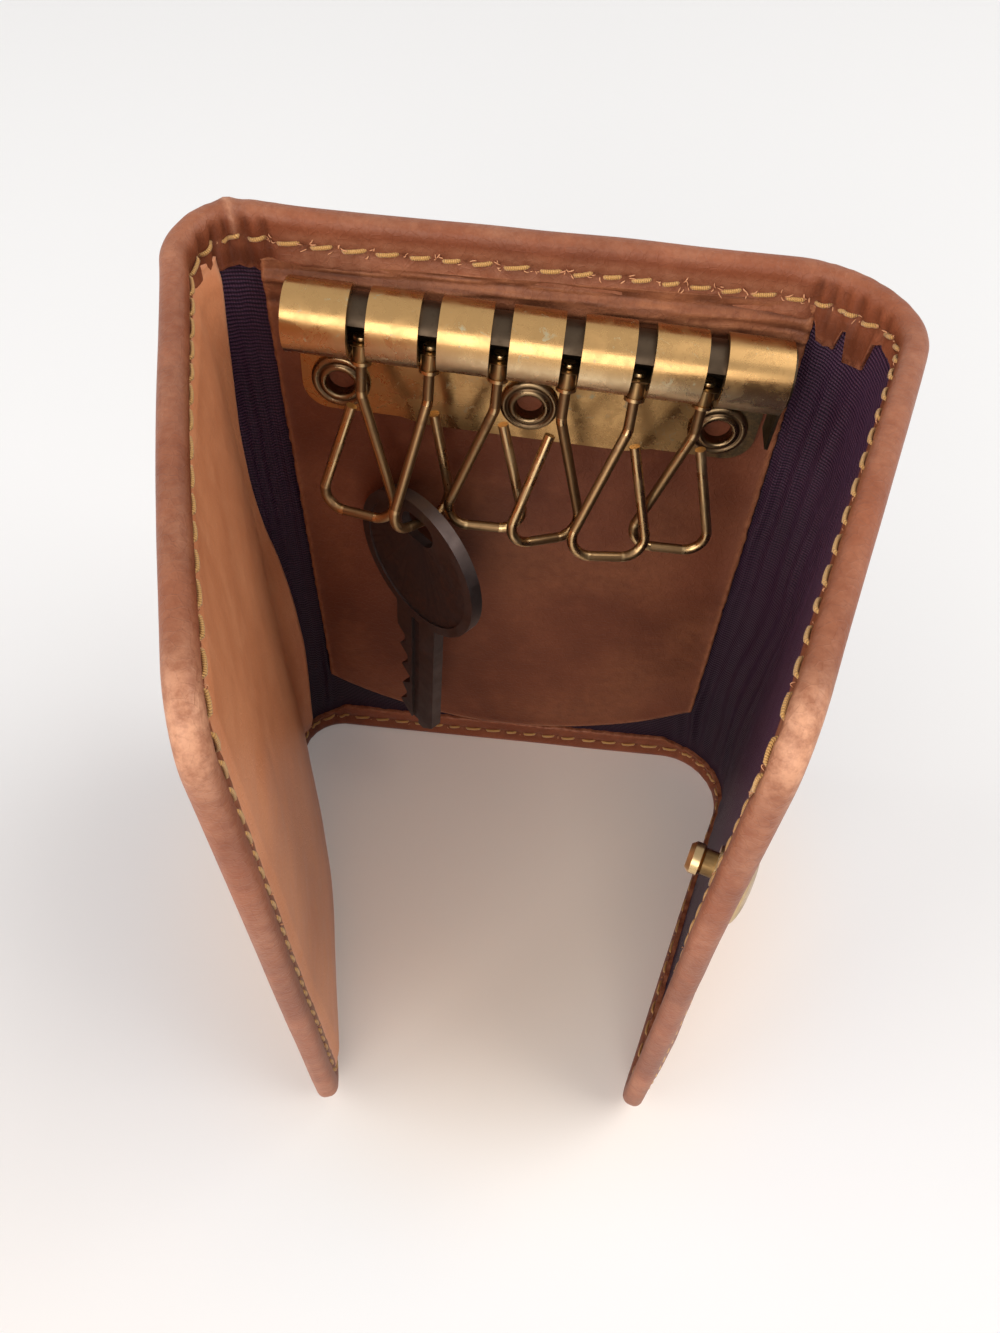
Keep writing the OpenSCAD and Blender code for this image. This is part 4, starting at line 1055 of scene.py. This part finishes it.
def floor():
    me = bpy.data.meshes.new("floor")
    n = FLOOR_CELLS
    v = [(FLOOR * (i / n - 0.5), FLOOR * (j / n - 0.5), 0.0) for j in range(n + 1) for i in range(n + 1)]
    corners = [j * (n + 1) + i for j in range(n) for i in range(n)]
    f = [(c, c + 1, c + n + 2, c + n + 1) for c in corners]
    me.from_pydata(v, [], f)
    ob = bpy.data.objects.new("floor", me)
    bpy.context.scene.collection.objects.link(ob)
    g = Mat("floor_white")
    q = g.obj()
    near = g.n("ShaderNodeVectorMath", {0: q, 1: WARM_AT}, operation="DISTANCE").outputs[1]
    warm = g.ramp(near, [(WARM_FROM_TO[0], 1), (WARM_FROM_TO[1], 0)], "EASE")
    side = g.n("ShaderNodeVectorMath", {0: q, 1: CAST_AT}, operation="DISTANCE").outputs[1]
    cast = g.ramp(side, [(0.0, 0.8), (CAST_TO, 0)], "EASE")
    col = g.mix(warm, (0.80, 0.79, 0.787), (0.97, 0.80, 0.635))
    g.set(Base_Color=g.mix(cast, col, (0.88, 0.75, 0.65)), Roughness=0.75)
    g.bumps((g.noise(q, 60, 3, 0.5), 0.00005))
    ray = g.n("ShaderNodeLightPath").outputs
    seen = g.math("MAXIMUM", ray["Is Glossy Ray"], ray["Is Transmission Ray"])
    seen = g.math("MAXIMUM", ray["Is Camera Ray"], seen)
    g.set(Emission_Color=(1.0, 0.99, 0.985), Emission_Strength=g.times(seen, 0.105))
    me.materials.append(g.m)


floor()


def lamp(name, loc, target, size, watts, colour):
    d = bpy.data.lights.new(name, "AREA")
    d.shape = "RECTANGLE"
    d.size, d.size_y = size
    d.energy = watts
    d.color = colour
    o = bpy.data.objects.new(name, d)
    o.location = loc
    o.rotation_euler = (Vector(target) - Vector(loc)).to_track_quat("-Z", "Y").to_euler()
    bpy.context.scene.collection.objects.link(o)


lamp("key_light", (0.95, 0.06, 1.15), (0, 0, 0.04), (1.2, 1.2), 15.0, (1.0, 0.99, 0.97))
lamp("fill_light", (-1.10, -0.32, 0.90), (0, 0, 0.04), (1.1, 1.1), 8.0, (1.0, 0.985, 0.97))
lamp("front_light", (-0.40, -1.66, 0.80), (0, 0, 0.05), (1.6, 1.2), 22.0, (1.0, 0.985, 0.965))

# The backdrop is pale where it is seen, and lights the scene more weakly
SKY, SKY_LIGHT, SKY_SEEN = (0.955, 0.96, 0.97, 1), 0.265, 0.64
world = bpy.data.worlds.new("world")
bpy.context.scene.world = world
world.use_nodes = True
bg = world.node_tree.nodes["Background"]
bg.inputs[0].default_value = SKY
ray = world.node_tree.nodes.new("ShaderNodeLightPath").outputs
level = None
for kind in ("Is Camera Ray", "Is Glossy Ray", "Is Transmission Ray"):
    m = world.node_tree.nodes.new("ShaderNodeMath")
    m.operation = "MULTIPLY_ADD"
    world.node_tree.links.new(ray[kind], m.inputs[0])
    m.inputs[1].default_value = SKY_SEEN
    m.inputs[2].default_value = SKY_LIGHT
    if level:
        world.node_tree.links.new(level, m.inputs[2])
    level = m.outputs[0]
world.node_tree.links.new(level, bg.inputs[1])

# Camera fitted to the picture: focal length in pixels of a picture 1333 high, place in millimetres, and turns
FOCAL, PICTURE, SENSOR = 1005.1, 1333, 36
CAM = Vector((3.99, -100.19 + SHIFT, 153.82)) * MM
PITCH, YAW, ROLL = (math.radians(a) for a in (52.620, -3.797, 2.577))
ahead = Vector((math.sin(YAW) * math.cos(PITCH), math.cos(YAW) * math.cos(PITCH), -math.sin(PITCH)))
level_right = Vector((math.cos(YAW), -math.sin(YAW), 0))
level_up = level_right.cross(ahead)
cam_right = math.cos(ROLL) * level_right + math.sin(ROLL) * level_up
cam_up = -math.sin(ROLL) * level_right + math.cos(ROLL) * level_up
cam_data = bpy.data.cameras.new("camera")
cam_data.sensor_fit = "AUTO"
cam_data.sensor_width = SENSOR
cam_data.lens = FOCAL * SENSOR / PICTURE
cam_data.clip_start = 0.005
cam = bpy.data.objects.new("camera", cam_data)
bpy.context.scene.collection.objects.link(cam)
turn = Matrix((cam_right, cam_up, -ahead)).transposed().to_4x4()
cam.matrix_world = Matrix.Translation(CAM) @ turn
bpy.context.scene.camera = cam
bpy.context.scene.view_settings.view_transform = "Standard"
